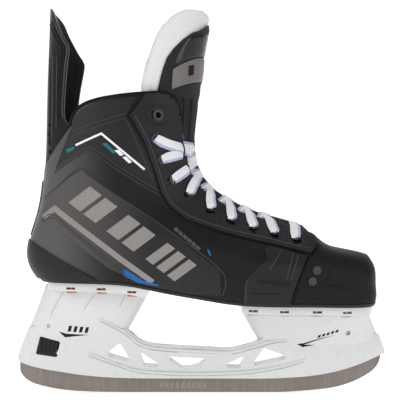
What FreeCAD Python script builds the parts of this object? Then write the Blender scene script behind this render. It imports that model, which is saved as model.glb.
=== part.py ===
import FreeCAD
import Part
import math
import os
from FreeCAD import Vector

# An ice hockey skate: a laced boot on a plastic holder, with a steel runner that a trigger lets go.
#
# +X points to the toe, +Z up and Y across; the runner's flat edge lies at Z = 0. Side-view outlines are
# drawn in (X, Z) at the drawn sizes, and at() carries them to the sizes set below. The boot is one closed
# skin, swept through sections that fan round an axis in front of the ankle. Its layers lie between two
# offsets of that skin and are trimmed by outlines in the side view. The near half has Y below zero.

# Overall sizes, in millimetres
SKATE_LENGTH = 295.0  # holder, heel end to toe end
SKATE_HEIGHT = 308.0  # ice to the tip of the tendon guard
BOOT_WIDTH = 101.0  # outside, at the ball of the foot
DRAWN_LENGTH = 295.0
DRAWN_HEIGHT = 308.0
DRAWN_WIDTH = 101.0

# Runner, its holder and the release
RUNNER_THICK = 2.9
RUNNER_INSET = 6.0  # how far the runner stands up inside its groove
GROOVE_SIDE = 0.2  # clearance each side of the runner
GROOVE_ROOM = 1.6  # free height above the runner
HOLDER_WALL = 2.6
RAIL_HALF = 6.8  # half the thickness of the rail and the bridge
FLANGE_DEEP = 6.5
FLANGE_INSET = 2.2  # how far a flange stands in from the sole's edge
CAVITY_HALF = 5.1  # half the width of the room the trigger works in
TRIGGER_HALF = 4.8
TRIGGER_EYE_HALF = 2.2
TRIGGER_PIN_R = 1.6
HOOK_PIN_R = 2.0
WINDOW_ROUND = 1.8  # corner radius of the windows in the bridge
PIN_PLAY = 0.08  # radial clearance round both pins
PIN_GLUE = 0.04  # clearance of a pin in the holder's wall
SPRING_WIRE = 0.7
SPRING_R = 2.9
SPRING_TURNS = 3
TOOTH_GAP = 0.35  # between the trigger's tooth and the runner's nose

# Boot layers, and the glue line between two of them
QUARTER_THICK = 3.6
LINER_THICK = 2.4
PAD_THICK = 6.0
FACING_THICK = 1.8
COUNTER_THICK = 1.3
WING_THICK = 1.2
CAP_THICK = 4.0
CAP_LINING_THICK = 1.2
GLUE = 0.2
SEAM = 0.2  # between the two halves of the boot
OUTSOLE_THICK = 2.6
BOARD_THICK = 2.4
INSOLE_THICK = 4.5

# Rivets, eyelets and lace
RIVET_R = 2.2
RIVET_HEAD_R = 4.0
RIVET_HEAD_THICK = 1.0
RIVET_TAIL_R = 3.6
RIVET_TAIL_THICK = 1.4
RIVET_HOLE_GAP = 0.05
SLOT_LENGTH = 7.0
SLOT_HEIGHT = 1.8
EYELET_BORE_R = 2.4
EYELET_WALL = 0.8
EYELET_RIM_R = 4.2
EYELET_RIM_THICK = 0.6
EYELET_BACK_R = 3.9
CAP_RIVET_R = 3.2
LACE_WIDTH = 8.0
LACE_THICK = 1.2

# Tongue and tendon guard
FELT_THICK = 7.5
COVER_THICK = 1.6
TONGUE_SPLIT = 0.5  # free gap at the crease where the tongue folds
GUARD_THICK = 2.6
GUARD_PAD_THICK = 4.0
GUARD_SPLIT = 0.5  # free gap between the guard and the boot

FAR = 400.0  # longer than any outline


def at(x, z, y=0.0):
    """The drawn point (x, z), y across, at the skate's own sizes."""
    wide = BOOT_WIDTH / DRAWN_WIDTH
    return Vector(x * SKATE_LENGTH / DRAWN_LENGTH, y * wide, z * SKATE_HEIGHT / DRAWN_HEIGHT)


def spline(points):
    line = Part.BSplineCurve()
    line.interpolate(points)
    return line.toShape()


def outline(*runs):
    """A closed flat wire: each run of drawn points is one smooth curve, and straight lines join them."""
    edges = []
    ends = []
    for run in runs:
        points = [at(x, z) for x, z in run]
        ends.append((points[0], points[-1]))
    for k, run in enumerate(runs):
        points = [at(x, z) for x, z in run]
        if len(points) == 2:
            edges.append(Part.makeLine(points[0], points[1]))
        elif len(points) > 2:
            edges.append(spline(points))
        finish, start = ends[k][1], ends[(k + 1) % len(runs)][0]
        if (finish - start).Length > 1e-6:
            edges.append(Part.makeLine(finish, start))
    return Part.Wire(edges)


def polygon(*points):
    return outline(*[[p] for p in points])


def prism(wire, low, high):
    """The wire drawn at Y = 0 as a solid from Y = low to Y = high."""
    face = Part.Face(wire)
    face.translate(Vector(0, low, 0))
    return face.extrude(Vector(0, high - low, 0))


def near(wire, seam=0.0):
    """The wire's prism on the near half, ending seam short of the middle."""
    return prism(wire, -FAR, -seam)


def mirror(shape):
    return shape.mirror(Vector(0, 0, 0), Vector(0, 1, 0))


def whole(half):
    """A half and its mirror image as one solid."""
    return half.fuse(mirror(half)).removeSplitter()


def rod(centre, axis, radius, low, high):
    """A cylinder along the axis, from low to high measured from the centre."""
    return Part.makeCylinder(radius, high - low, centre + axis * low, axis)


def rounded(points, radius):
    """A closed polygon of drawn points with its corners rounded."""
    corners = [at(x, z) for x, z in points]
    edges = []
    cuts = []
    for k, corner in enumerate(corners):
        before, after = corners[k - 1], corners[(k + 1) % len(corners)]
        inward, onward = (before - corner).normalize(), (after - corner).normalize()
        half_angle = inward.getAngle(onward) / 2
        shorter = min((before - corner).Length, (after - corner).Length)
        back = min(radius / math.tan(half_angle), shorter * 0.45)
        bisector = (inward + onward).normalize()
        true_radius = back * math.tan(half_angle)
        middle = corner + bisector * (true_radius / math.sin(half_angle) - true_radius)
        cuts.append((corner + inward * back, middle, corner + onward * back))
    for k, (start, middle, finish) in enumerate(cuts):
        edges.append(Part.Arc(start, middle, finish).toShape())
        edges.append(Part.makeLine(finish, cuts[(k + 1) % len(cuts)][0]))
    return Part.Wire(edges)


# --- The boot's skin ---

FAN_AXIS = (81.0, 221.0)
INSTEP_LINE = [  # from the toe's front over the cap, along the instep and up the shin
    (141.0, 92.0), (140.4, 100.0), (137.2, 108.0), (131.0, 113.0), (118.6, 116.4), (107.0, 118.8),
    (98.5, 122.4), (92.0, 129.0), (84.5, 135.2), (73.0, 140.0), (51.0, 145.8), (37.7, 150.6),
    (20.0, 160.0), (6.0, 171.5), (-1.5, 186.0), (-3.7, 205.0), (-0.7, 232.0), (1.2, 248.0), (2.0, 262.0),
]  # fmt: skip
HEEL_LINE = [  # from the toe's front under the foot and up the heel; the sole is cut flat above this line
    (141.0, 92.0), (140.6, 84.0), (138.0, 74.0), (130.0, 68.5), (100.0, 68.5), (60.0, 69.0), (35.0, 69.5),
    (13.0, 72.5), (-18.0, 77.0), (-46.0, 82.0), (-75.0, 84.5), (-105.0, 85.0), (-121.0, 86.5),
    (-131.0, 91.0), (-136.2, 98.0), (-137.7, 107.0), (-137.0, 118.0), (-134.9, 130.0), (-131.2, 143.0),
    (-127.7, 161.5), (-125.7, 179.0), (-124.6, 194.0), (-124.4, 216.0), (-123.7, 238.0), (-122.4, 266.0),
]  # fmt: skip
SECTIONS = [  # fan angle (toe side positive), half-width, squareness at the instep and at the sole or heel
    (24.45, 11.0, 2.2, 2.4), (23.9, 18.5, 2.3, 2.6), (22.6, 27.5, 2.4, 3.0), (20.5, 34.5, 2.6, 3.6),
    (17.5, 39.5, 2.8, 4.2), (13.5, 43.5, 2.8, 4.6), (8.5, 46.8, 2.4, 4.8), (3.0, 49.2, 2.0, 4.8),
    (-4.0, 50.4, 1.7, 4.8), (-12.0, 50.2, 1.6, 4.6), (-21.0, 48.0, 1.6, 4.2), (-30.0, 44.5, 1.65, 3.8),
    (-39.0, 41.0, 1.75, 3.4), (-48.0, 38.5, 1.85, 3.0), (-56.0, 37.6, 1.9, 2.8), (-63.0, 38.0, 1.95, 2.6),
    (-70.0, 39.6, 2.0, 2.4), (-78.0, 41.2, 2.0, 2.3), (-86.0, 41.4, 2.0, 2.2), (-95.0, 40.6, 2.0, 2.1),
    (-105.0, 40.0, 2.0, 2.1),
]  # fmt: skip
TOE_END = SECTIONS[0][0]
BALL = 8.5  # the fan angle behind which an offset no longer shortens the toe
HALF_POINTS = 32
GAP_TURN = 25.0  # degrees round a section, from the instep's middle to the edge of the lacing gap


def reach_along(guide, angle):
    """The distance from the fan's axis to the guide line at that angle, and the direction."""
    turn = math.radians(angle)
    axis = at(*FAN_AXIS)
    tip = at(FAN_AXIS[0] + FAR * math.sin(turn), FAN_AXIS[1] - FAR * math.cos(turn))
    touch = Part.makeLine(axis, tip).distToShape(guide)[1][0][0]
    return (touch - axis).Length, (tip - axis).normalize()


def eased(share):
    """A smooth step from 0 to 1."""
    share = min(1.0, max(0.0, share))
    return share * share * (3 - 2 * share)


def skin_face(side, middle, made={}):
    """The near half of the skin, grown by side, and by middle over the lacing gap."""
    if (side, middle) in made:
        return made[side, middle]
    instep = spline([at(x, z) for x, z in INSTEP_LINE])
    heel = spline([at(x, z) for x, z in HEEL_LINE])
    grid = []
    for angle, half_width, square_in, square_out in SECTIONS:
        shorten = max(0.0, (angle - BALL) / (TOE_END - BALL))
        angle += math.degrees(side / (TOE_END * 5.4)) * shorten
        inner, along = reach_along(instep, angle)
        outer = reach_along(heel, angle)[0]
        row = []
        for i in range(HALF_POINTS + 1):
            turn = math.pi * i / HALF_POINTS
            share = min(1.0, math.degrees(turn) / GAP_TURN)
            grow = side + (middle - side) * (1 + math.cos(math.pi * share)) / 2
            n = square_in + (square_out - square_in) * eased((math.degrees(turn) - 75) / 50)
            reach = (abs(math.cos(turn)) ** n + math.sin(turn) ** n) ** (-1 / n)
            depth = ((outer - inner) / 2 + grow) * reach * math.cos(turn)
            half = (half_width * BOOT_WIDTH / DRAWN_WIDTH + side) * reach * math.sin(turn)
            row.append(at(*FAN_AXIS) + along * ((inner + outer) / 2 - depth) + Vector(0, -half, 0))
        row[0].y = 0.0
        row[-1].y = 0.0
        grid.append(row)
    surface = Part.BSplineSurface()
    surface.interpolate(grid)
    made[side, middle] = surface.toShape()
    return made[side, middle]


def closed(faces):
    """The solid that the faces enclose."""
    shell = Part.makeShell(faces)
    shell.sewShape()
    solid = Part.makeSolid(shell)
    if solid.Volume < 0:
        solid.reverse()
    return solid


def skin(side, middle=None, made={}):
    """The near half of the boot's skin, grown by side, as a solid."""
    middle = side if middle is None else middle
    if (side, middle) in made:
        return made[side, middle]
    face = skin_face(side, middle)
    flat, ends = [], []
    for edge in face.Edges:
        box = edge.BoundBox
        (flat if max(abs(box.YMin), abs(box.YMax)) < 1e-4 else ends).append(edge)
    faces = [face]
    chords = []
    for edge in ends:
        chord = Part.makeLine(edge.Vertexes[0].Point, edge.Vertexes[-1].Point)
        chords.append(chord)
        faces.append(Part.Face(Part.Wire([edge, chord])))
    faces.append(Part.Face(Part.Wire(Part.__sortEdges__(flat + chords))))
    made[side, middle] = closed(faces)
    return made[side, middle]


def layer(outer, inner, cutter):
    """The part of the cutter between two offsets of the skin, on the near half."""
    return skin(outer).common(cutter).cut(skin(inner))


def on_skin(x, z):
    """The point of the near half of the skin that shows at the drawn point, and its outward normal."""
    face = skin_face(0.0, 0.0)
    start = at(x, z)
    line = Part.makeLine(start + Vector(0, -FAR, 0), start + Vector(0, -2, 0))
    point = line.distToShape(face)[1][0][1]
    normal = face.normalAt(*face.Surface.parameter(point))
    return point, normal if normal.y < 0 else normal * -1


# --- Side-view outlines of the boot ---

SOLE_LINE = [
    (-150.0, 91.4), (-110.0, 91.3), (-75.0, 90.6), (-52.0, 88.4), (-30.0, 84.2), (0.0, 79.6),
    (22.0, 76.6), (45.0, 75.5), (80.0, 75.2), (115.0, 74.4), (152.0, 73.0),
]  # fmt: skip
SEAM_LINE = [(-140.0, 161.0), (-99.5, 212.0)]  # where the tendon guard meets the boot
COLLAR_EDGE = [
    (-99.5, 212.0), (-98.0, 219.0), (-91.5, 227.2), (-79.0, 232.0), (-60.0, 235.2), (-40.0, 237.4),
    (-30.0, 237.9), (-22.5, 236.0), (-18.0, 230.0), (-16.0, 222.0), (-14.8, 210.0), (-13.2, 196.0),
    (-9.6, 183.0), (-3.0, 170.0), (10.0, 158.0), (29.0, 147.2), (49.0, 140.2), (68.0, 135.0),
    (80.0, 131.4), (86.0, 129.0),
]  # fmt: skip
TOP_OF_FACING = 5  # the collar point from which the facing starts
CAP_EDGE = [
    (92.5, 137.0), (91.0, 127.0), (88.6, 119.6), (84.0, 114.6), (79.6, 110.4), (76.2, 103.0),
    (73.0, 95.0), (69.8, 85.0), (68.0, 77.0), (67.5, 66.0),
]  # fmt: skip
FACING_FOOT = [
    (83.0, 115.6), (66.4, 119.3), (53.7, 122.6), (35.0, 126.7), (14.7, 132.0), (-10.2, 141.0),
    (-23.1, 150.8), (-30.0, 162.1), (-33.5, 174.0), (-42.2, 200.1), (-52.8, 219.9), (-40.0, 237.4),
]  # fmt: skip
FACING_TIP = [(86.0, 129.0), (88.6, 125.6), (87.0, 119.6), (83.0, 115.6)]
WING_TOP = [(80.0, 114.8), (66.0, 118.3), (55.0, 121.0), (50.0, 120.6), (48.4, 118.0)]
WING_REAR = [(48.4, 118.0), (50.2, 112.6), (35.4, 98.2), (32.5, 92.6), (32.2, 66.0)]
COUNTER_TOP = [
    (-150.0, 124.5), (-134.0, 124.0), (-118.0, 116.0), (-101.0, 106.5), (-80.0, 94.0), (-70.0, 86.0),
]  # fmt: skip
TONGUE_REAR = [
    (-46.0, 246.0), (-45.5, 225.0), (-43.5, 205.0), (-38.0, 186.0), (-27.0, 166.0), (-8.0, 148.5),
    (15.0, 137.0), (40.0, 128.0), (62.0, 121.6), (78.0, 117.6), (88.0, 119.0), (92.0, 127.0), (94.0, 137.0),
]  # fmt: skip
CREASE_HEIGHT = 239.0  # where the tongue folds


def shifted(points, dx, dz):
    return [(x + dx, z + dz) for x, z in points]


def raised(points, lift):
    """The drawn points lifted by a true height."""
    return shifted(points, 0.0, lift * DRAWN_HEIGHT / SKATE_HEIGHT)


def band(low, high):
    """The sole's strip, from low to high above the sole line."""
    return outline(raised(SOLE_LINE, low), raised(SOLE_LINE, high)[::-1])


def above_sole(lift):
    return outline(raised(SOLE_LINE, lift), [(152.0, 330.0), (-150.0, 330.0)])


BOTTOM = OUTSOLE_THICK + 0.1  # the boot's edge stands this high over the sole line
FLOOR = BOTTOM + BOARD_THICK + GLUE


def quarter_outline():
    return outline(
        SEAM_LINE,
        COLLAR_EDGE,
        shifted(CAP_EDGE, -0.8, 0.0)[1:],
        [(67.0, 40.0), (-170.0, 40.0)],
        [(-170.0, 161.0), (-140.0, 161.0)],
    )


def boot_half():
    """The quarter, liner and pad of the near half."""
    cutter = near(quarter_outline(), SEAM / 2)
    quarter = layer(0.0, -QUARTER_THICK, cutter).common(near(above_sole(BOTTOM)))
    liner_outer = -QUARTER_THICK - GLUE
    lining = outline(
        [(-140.0, 154.0), (-97.0, 208.0)],
        [(-97.0, 208.0), (-95.5, 217.0), (-89.0, 225.0), (-78.0, 229.6), (-60.0, 232.8), (-48.0, 234.2)],
        shifted(TONGUE_REAR[1:-3], -1.6, -1.6),
        [(75.0, 108.0), (66.0, 85.0), (64.0, 40.0)],
        [(-170.0, 40.0), (-170.0, 154.0)],
    )
    liner = layer(liner_outer, liner_outer - LINER_THICK, near(lining, SEAM / 2))
    liner = liner.common(near(above_sole(FLOOR)))
    pad_outer = liner_outer - LINER_THICK - GLUE
    pad_shape = outline(
        [(-112.0, 150.0), (-103.0, 188.0), (-93.0, 212.0), (-80.0, 224.0), (-64.0, 226.0), (-55.0, 214.0),
         (-54.0, 190.0), (-62.0, 166.0), (-80.0, 148.0), (-98.0, 142.0), (-112.0, 150.0)]
    )  # fmt: skip
    pad = layer(pad_outer, pad_outer - PAD_THICK, near(pad_shape))
    return quarter, liner, pad


def overlay(thick, wire, seam=0.0):
    """A thin layer glued outside the quarter."""
    return layer(GLUE + thick, GLUE, near(wire, seam))


def facing_half():
    wire = outline(COLLAR_EDGE[TOP_OF_FACING:], FACING_TIP, FACING_FOOT)
    return overlay(FACING_THICK, wire)


def wing_half():
    front = shifted(CAP_EDGE[5:], -0.8, 0.0)
    rear = [[point] for point in WING_REAR[1:]]
    wire = outline(WING_TOP, *rear, [(66.7, 66.0)], front[::-1] + [(80.0, 114.8)])
    return overlay(WING_THICK, wire).common(near(above_sole(BOTTOM)))


def counter_half():
    wire = outline(COUNTER_TOP, [(-70.0, 60.0), (-150.0, 60.0)])
    return overlay(COUNTER_THICK, wire).common(near(above_sole(BOTTOM)))


def cap_region():
    return near(outline(CAP_EDGE, [(67.5, 40.0), (170.0, 40.0), (170.0, 137.0)]))


def cap_half():
    return layer(0.0, -CAP_THICK, cap_region()).common(near(above_sole(BOTTOM)))


def cap_lining_half():
    outer = -CAP_THICK - GLUE
    rear = near(outline(shifted(CAP_EDGE, 4.0, 0.0), [(71.5, 40.0), (170.0, 40.0), (170.0, 137.0)]))
    return layer(outer, outer - CAP_LINING_THICK, rear).common(near(above_sole(FLOOR)))


def sole_layers():
    outsole = whole(skin(GLUE * 2).common(near(band(0.1, OUTSOLE_THICK))))
    board = whole(skin(-QUARTER_THICK - GLUE * 3).common(near(band(BOTTOM, BOTTOM + BOARD_THICK))))
    inside = -QUARTER_THICK - LINER_THICK - GLUE * 3
    insole = whole(skin(inside).common(near(band(FLOOR, FLOOR + INSOLE_THICK))))
    return outsole, board, insole


# --- Eyelets and lace ---

EYELETS = [  # the top pair is left unlaced; then where each strand leaves the side view
    ((-32.7, 220.7), None), ((-34.0, 202.6), (-8.0, 207.0)), ((-29.4, 187.4), (-4.0, 193.0)),
    ((-21.0, 172.2), (4.0, 180.0)), ((-8.4, 161.4), (7.0, 176.0)), ((8.4, 149.4), (19.0, 166.0)),
    ((24.4, 140.8), (36.0, 157.0)), ((41.0, 134.8), (48.0, 152.0)), ((57.0, 130.4), (62.0, 148.0)),
    ((72.8, 126.4), (80.0, 145.0)),
]  # fmt: skip


def eyelet_parts(x, z):
    """One eyelet and the hole it needs through the facing and the quarter."""
    point, out = on_skin(x, z)
    top = GLUE + FACING_THICK
    back = -QUARTER_THICK - 0.25
    tube_r = EYELET_BORE_R + EYELET_WALL
    tube = rod(point, out, tube_r, back - EYELET_RIM_THICK, top + EYELET_RIM_THICK)
    rim = rod(point, out, EYELET_RIM_R, top + 0.05, top + 0.05 + EYELET_RIM_THICK)
    flange = rod(point, out, EYELET_BACK_R, back - EYELET_RIM_THICK, back)
    bore = rod(point, out, EYELET_BORE_R, -10, 10)
    hole = rod(point, out, tube_r + 0.06, -QUARTER_THICK - 2, top + 3)
    return tube.fuse([rim, flange]).removeSplitter().cut(bore), hole


def lace_rungs():
    """The crossing strands, one band over the instep from each pair of eyelets to its partner."""
    top = GLUE + FACING_THICK + EYELET_RIM_THICK + 0.3
    cover_top = TONGUE_MIDDLE + GLUE
    outer = skin(top + LACE_THICK, cover_top + LACE_THICK)
    inner = skin(top, cover_top)
    rungs = []
    for (x, z), leave in EYELETS[1:]:
        start, finish = at(x, z), at(*leave)
        along = (finish - start).normalize()
        across = Vector(-along.z, 0, along.x) * (LACE_WIDTH / 2)
        end = start + along * 45
        rear = Part.Arc(start + across, start - along * (LACE_WIDTH / 2), start - across).toShape()
        sides = [Part.makeLine(start - across, end - across), Part.makeLine(end - across, end + across)]
        strip = Part.Wire([rear] + sides + [Part.makeLine(end + across, start + across)])
        rungs.append(whole(outer.common(near(strip)).cut(inner)))
    return rungs


# --- Tongue ---

TONGUE_SIDE = -QUARTER_THICK - 1.3  # the cover's offset under the facings
TONGUE_MIDDLE = -0.8  # and in the lacing gap, where it bulges out between them
TONGUE_FRONT = [(236.0, -1.2), (248.0, 0.4), (262.0, 1.6), (283.0, 5.0), (295.0, 7.4), (312.0, 11.6)]
TONGUE_DEEP = 56.0  # how far the tongue's sides wrap back
TONGUE_HALF = 37.0
TONGUE_EDGE = [
    (-46.2, 230.0), (-46.0, 246.0), (-42.5, 262.0), (-37.6, 276.0), (-31.1, 287.8), (-23.6, 296.8),
    (-17.0, 301.8), (-9.0, 305.0), (0.0, 306.2), (20.0, 306.8),
]  # fmt: skip
COVER_EDGE = [
    (-32.5, 230.0), (-31.5, 243.0), (-29.0, 256.0), (-24.5, 268.0), (-17.0, 278.5), (-7.0, 286.0),
    (5.0, 290.0), (20.0, 292.0),
]  # fmt: skip
LABEL_OUTLINE = [(-22.0, 259.5), (4.5, 268.0), (3.5, 247.5), (-23.0, 240.6)]


def wrapped(rows, depth):
    """The near half of a sheet wrapped round a vertical form, cut in by depth.

    Each row is (drawn height, drawn X of the middle, wrap towards +X, half-width).
    """
    grid = []
    for z, x, deep, half in rows:
        row = []
        sign = 1 if deep > 0 else -1
        for i in range(13):
            turn = math.radians(7.5 * i)
            place = at(x, z)
            place.x += sign * depth + (deep - sign * depth) * (1 - math.cos(turn))
            place.y = -(half * BOOT_WIDTH / DRAWN_WIDTH - depth) * math.sin(turn)
            row.append(place)
        grid.append(row)
    surface = Part.BSplineSurface()
    surface.interpolate(grid)
    return grid, surface.toShape()


def wrapped_sheet(rows, outer, inner, wire):
    """The sheet between two depths of the wrapped form, trimmed by the wire, both halves in one."""
    blocks = []
    for depth in (outer, inner):
        grid, face = wrapped(rows, depth)
        faces = [face]
        corner = [grid[0][0], grid[0][-1], grid[-1][-1], grid[-1][0]]
        edges = face.Edges
        lines = []
        for a, b in ((0, 1), (3, 2)):
            side = [e for e in edges if is_between(e, corner[a], corner[b])][0]
            turn_point = Vector(corner[b].x, 0, corner[b].z)
            legs = [Part.makeLine(corner[b], turn_point), Part.makeLine(turn_point, corner[a])]
            faces.append(Part.Face(Part.Wire(Part.__sortEdges__([side] + legs))))
            lines.append(legs)
        rear = [e for e in edges if is_between(e, corner[1], corner[2])][0]
        front = [e for e in edges if is_between(e, corner[0], corner[3])][0]
        rear_low = Vector(corner[1].x, 0, corner[1].z)
        rear_high = Vector(corner[2].x, 0, corner[2].z)
        plane_rear = Part.makeLine(rear_low, rear_high)
        faces.append(Part.makeRuledSurface(plane_rear, rear))
        faces.append(Part.Face(Part.Wire(Part.__sortEdges__([front, lines[0][1], plane_rear, lines[1][1]]))))
        blocks.append(faces)
    solids = [closed(f) for f in blocks]
    return whole(solids[0].common(near(wire)).cut(solids[1]))


def is_between(edge, a, b):
    p, q = edge.Vertexes[0].Point, edge.Vertexes[-1].Point
    return min((p - a).Length + (q - b).Length, (p - b).Length + (q - a).Length) < 1e-4


def tongue_parts():
    """The lower tongue's cover and felt, then the upper tongue's cover, felt and label."""
    reach = outline(TONGUE_REAR, [(110.0, 140.0), (60.0, 260.0), (-46.0, 260.0)])
    fold = CREASE_HEIGHT - TONGUE_SPLIT / 2
    below = near(polygon((-80, 60), (150, 60), (150, fold), (-80, fold)))
    lower = near(reach).common(below)
    cover = skin(TONGUE_SIDE, TONGUE_MIDDLE).common(lower)
    cover = cover.cut(skin(TONGUE_SIDE - COVER_THICK, TONGUE_MIDDLE - COVER_THICK))
    felt_side, felt_middle = TONGUE_SIDE - COVER_THICK - GLUE, TONGUE_MIDDLE - COVER_THICK - GLUE
    felt = skin(felt_side, felt_middle).common(lower)
    felt = felt.cut(skin(felt_side - FELT_THICK, felt_middle - FELT_THICK))
    rows = [(z, x, -TONGUE_DEEP, TONGUE_HALF) for z, x in TONGUE_FRONT]
    foot = CREASE_HEIGHT + TONGUE_SPLIT / 2
    felt_wire = outline([(-46.0, foot), (-46.0, 246.0)], TONGUE_EDGE[1:], [(20.0, foot)])
    cover_wire = outline([(-31.8, foot), (-31.5, 243.0)], COVER_EDGE[1:], [(20.0, foot)])
    upper_cover = wrapped_sheet(rows, 0.0, COVER_THICK, cover_wire)
    depth = COVER_THICK + GLUE
    upper_felt = wrapped_sheet(rows, depth, depth + FELT_THICK, felt_wire)
    label = wrapped_sheet(rows, -GLUE - 0.7, -GLUE, rounded(LABEL_OUTLINE, 2.0))
    return whole(cover), whole(felt), upper_cover, upper_felt, label


# --- Tendon guard ---

GUARD_ROWS = [  # drawn height, X of the back, forward wrap, half-width
    (160.0, -127.9, 58.0, 40.5), (182.0, -125.5, 58.0, 41.0), (205.0, -124.4, 58.0, 41.0),
    (235.0, -123.8, 56.0, 42.0), (262.0, -122.8, 51.0, 44.6), (290.0, -121.6, 47.0, 46.0),
    (315.0, -120.6, 45.0, 46.5),
]  # fmt: skip
GUARD_FRONT = [
    (-100.0, 212.0), (-104.2, 219.0), (-104.8, 228.0), (-104.0, 240.0), (-102.4, 254.0), (-100.4, 267.0),
    (-100.2, 273.5), (-104.0, 280.5), (-109.0, 290.0), (-112.6, 298.0), (-115.4, 305.0), (-118.6, 308.0),
    (-123.0, 307.4),
]  # fmt: skip


def guard_parts():
    seam = shifted(SEAM_LINE, -GUARD_SPLIT * 0.8, GUARD_SPLIT * 0.6)
    wire = outline(seam, [seam[-1]] + GUARD_FRONT[1:], [(-140.0, 307.4)])
    guard = wrapped_sheet(GUARD_ROWS, 0.0, GUARD_THICK, wire)
    lift = shifted(SEAM_LINE, -2.4, 2.0)
    front = shifted(GUARD_FRONT[1:-2], -1.6, -1.2)
    inner_wire = outline(lift, [lift[-1]] + front, [(-140.0, 303.0)])
    depth = GUARD_THICK + GLUE
    return guard, wrapped_sheet(GUARD_ROWS, depth, depth + GUARD_PAD_THICK, inner_wire)


# --- Holder ---

RAIL_FOOT = [
    (-146.6, 26.4), (-136.3, 22.5), (-114.5, 18.0), (-87.9, 14.3), (-58.3, 12.6), (7.7, 12.4),
    (74.4, 13.1), (100.6, 16.1), (120.2, 21.0), (133.3, 25.9), (147.0, 32.4),
]  # fmt: skip
BRIDGE_TOP = [
    (52.0, 47.0), (46.4, 41.2), (37.0, 37.2), (26.4, 35.2), (7.7, 35.6), (-18.7, 36.8), (-38.0, 38.4),
    (-48.3, 41.9), (-56.0, 47.0), (-60.0, 52.0),
]  # fmt: skip
HEEL_TOWER = [  # drawn height, rear, front, half-width
    (20.0, -143.0, -75.0, 4.6), (40.0, -142.4, -63.6, 5.8), (54.0, -137.8, -56.4, 9.4),
    (67.0, -132.6, -49.0, 12.4), (77.0, -128.8, -43.8, 14.2), (90.0, -124.0, -39.0, 16.0),
]  # fmt: skip
TOE_TOWER = [
    (20.0, 62.0, 143.0, 4.6), (36.0, 52.0, 146.4, 5.8), (46.0, 45.0, 144.0, 10.6),
    (56.0, 39.0, 140.0, 17.0), (64.0, 34.6, 136.8, 22.0), (74.0, 30.0, 133.0, 26.5),
]  # fmt: skip
WINDOWS = [
    [(-64.5, 41.0), (-76.5, 31.0), (-54.5, 24.6)],
    [(-51.0, 35.6), (-32.6, 23.4), (-34.1, 21.3), (-45.6, 21.8)],
    [(-29.6, 30.2), (8.4, 28.2), (-2.0, 22.0), (-8.0, 20.0), (-15.0, 20.2)],
    [(15.5, 21.4), (38.4, 31.6), (32.6, 20.6)],
    [(51.4, 36.8), (74.0, 28.8), (41.0, 21.8)],
]
TRIGGER_WINDOW = [(-129.0, 46.4), (-112.6, 42.0), (-115.2, 29.2), (-132.6, 31.8)]
HEEL_FLANGE = (-129.5, -42.0)
TOE_FLANGE = (32.0, 137.0)
REBATE_TOP = 76.2  # the outsole is rebated this high over the rear end of the toe flange
REBATE_END = 36.7
CRUMB = 0.5  # mm3; anything smaller left by a cut is dropped
SEATED = [
    ("tongue_cover_lower", "toe_cap"),
    ("tongue_felt_lower", "toe_cap"),
    ("tongue_cover_lower", "eyelets_outer"),
    ("tongue_cover_lower", "eyelets_inner"),
    ("lace", "eyelets_outer"),
    ("lace", "eyelets_inner"),
    ("toe_cap_lining", "toe_rivets"),
    ("lasting_board", "heel_rivets"),
]
HEEL_RIVETS = [-101.0, -77.0, -53.0]
TOE_RIVETS = [40.5, 64.0, 89.0, 112.0]
HOOK_PIN = (118.0, 50.0)
TRIGGER_PIN = (-121.5, 55.0)


def tower(rows, wall):
    """A holder tower lofted through level sections, its walls cut in by wall."""
    wires = []
    for z, rear, front, half in rows:
        rear, front = at(rear, z), at(front, z)
        centre, deep = (rear + front) * 0.5, (front.x - rear.x) / 2 - wall
        wide = half * BOOT_WIDTH / DRAWN_WIDTH - wall
        points = []
        for i in range(40):
            c, s = math.cos(math.pi * i / 20), math.sin(math.pi * i / 20)
            reach = (abs(c) ** 3 + abs(s) ** 3) ** (-1 / 3)
            points.append(centre + Vector(deep * reach * c, wide * reach * s, 0))
        ring = Part.BSplineCurve()
        ring.interpolate(Points=points, PeriodicFlag=True)
        wires.append(Part.Wire([ring.toShape()]))
    return Part.makeLoft(wires, True)


def flange_edge(height):
    """The level outline of the sole at that drawn height, set in for the flange, near half."""
    solid = skin(-FLANGE_INSET)
    level = at(0, height).z
    cut = solid.slice(Vector(0, 0, 1), level)
    return Part.Face(cut[0])


def flange(height, ends):
    """A tower's top plate: the sole's own outline between two X positions."""
    face = flange_edge(height)
    block = face.extrude(Vector(0, 0, -40))
    block.translate(Vector(0, 0, 20))
    ends = near(outline(band_run(ends, -FLANGE_DEEP), band_run(ends, -0.05)[::-1]))
    return whole(block.common(ends))


def band_run(ends, lift):
    """The sole line between two X positions, lifted."""
    inside = [p for p in SOLE_LINE if ends[0] + 8 < p[0] < ends[1] - 8]
    run = [(ends[0], sole_height(ends[0]))] + inside + [(ends[1], sole_height(ends[1]))]
    return raised(run, lift)


def sole_height(x):
    """The sole line's drawn height at X."""
    for (x0, z0), (x1, z1) in zip(SOLE_LINE, SOLE_LINE[1:]):
        if x0 <= x <= x1:
            return z0 + (z1 - z0) * (x - x0) / (x1 - x0)
    raise ValueError("outside the sole")


def rivet_places():
    """For each rivet: its X, the sole's height there, and how far out it sits."""
    places = []
    for height, row in ((91.0, HEEL_RIVETS), (76.0, TOE_RIVETS)):
        face = flange_edge(height)
        for x in row:
            start = Vector(at(x, 0).x, -1, at(0, height).z)
            line = Part.makeLine(start, start + Vector(0, -FAR, 0))
            edge_y = -line.common(face).BoundBox.YMin
            places.append((start.x, at(0, sole_height(x)).z, edge_y))
    return places


RIVET_IN = 5.6  # a rivet's centre, in from the flange's edge


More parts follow.
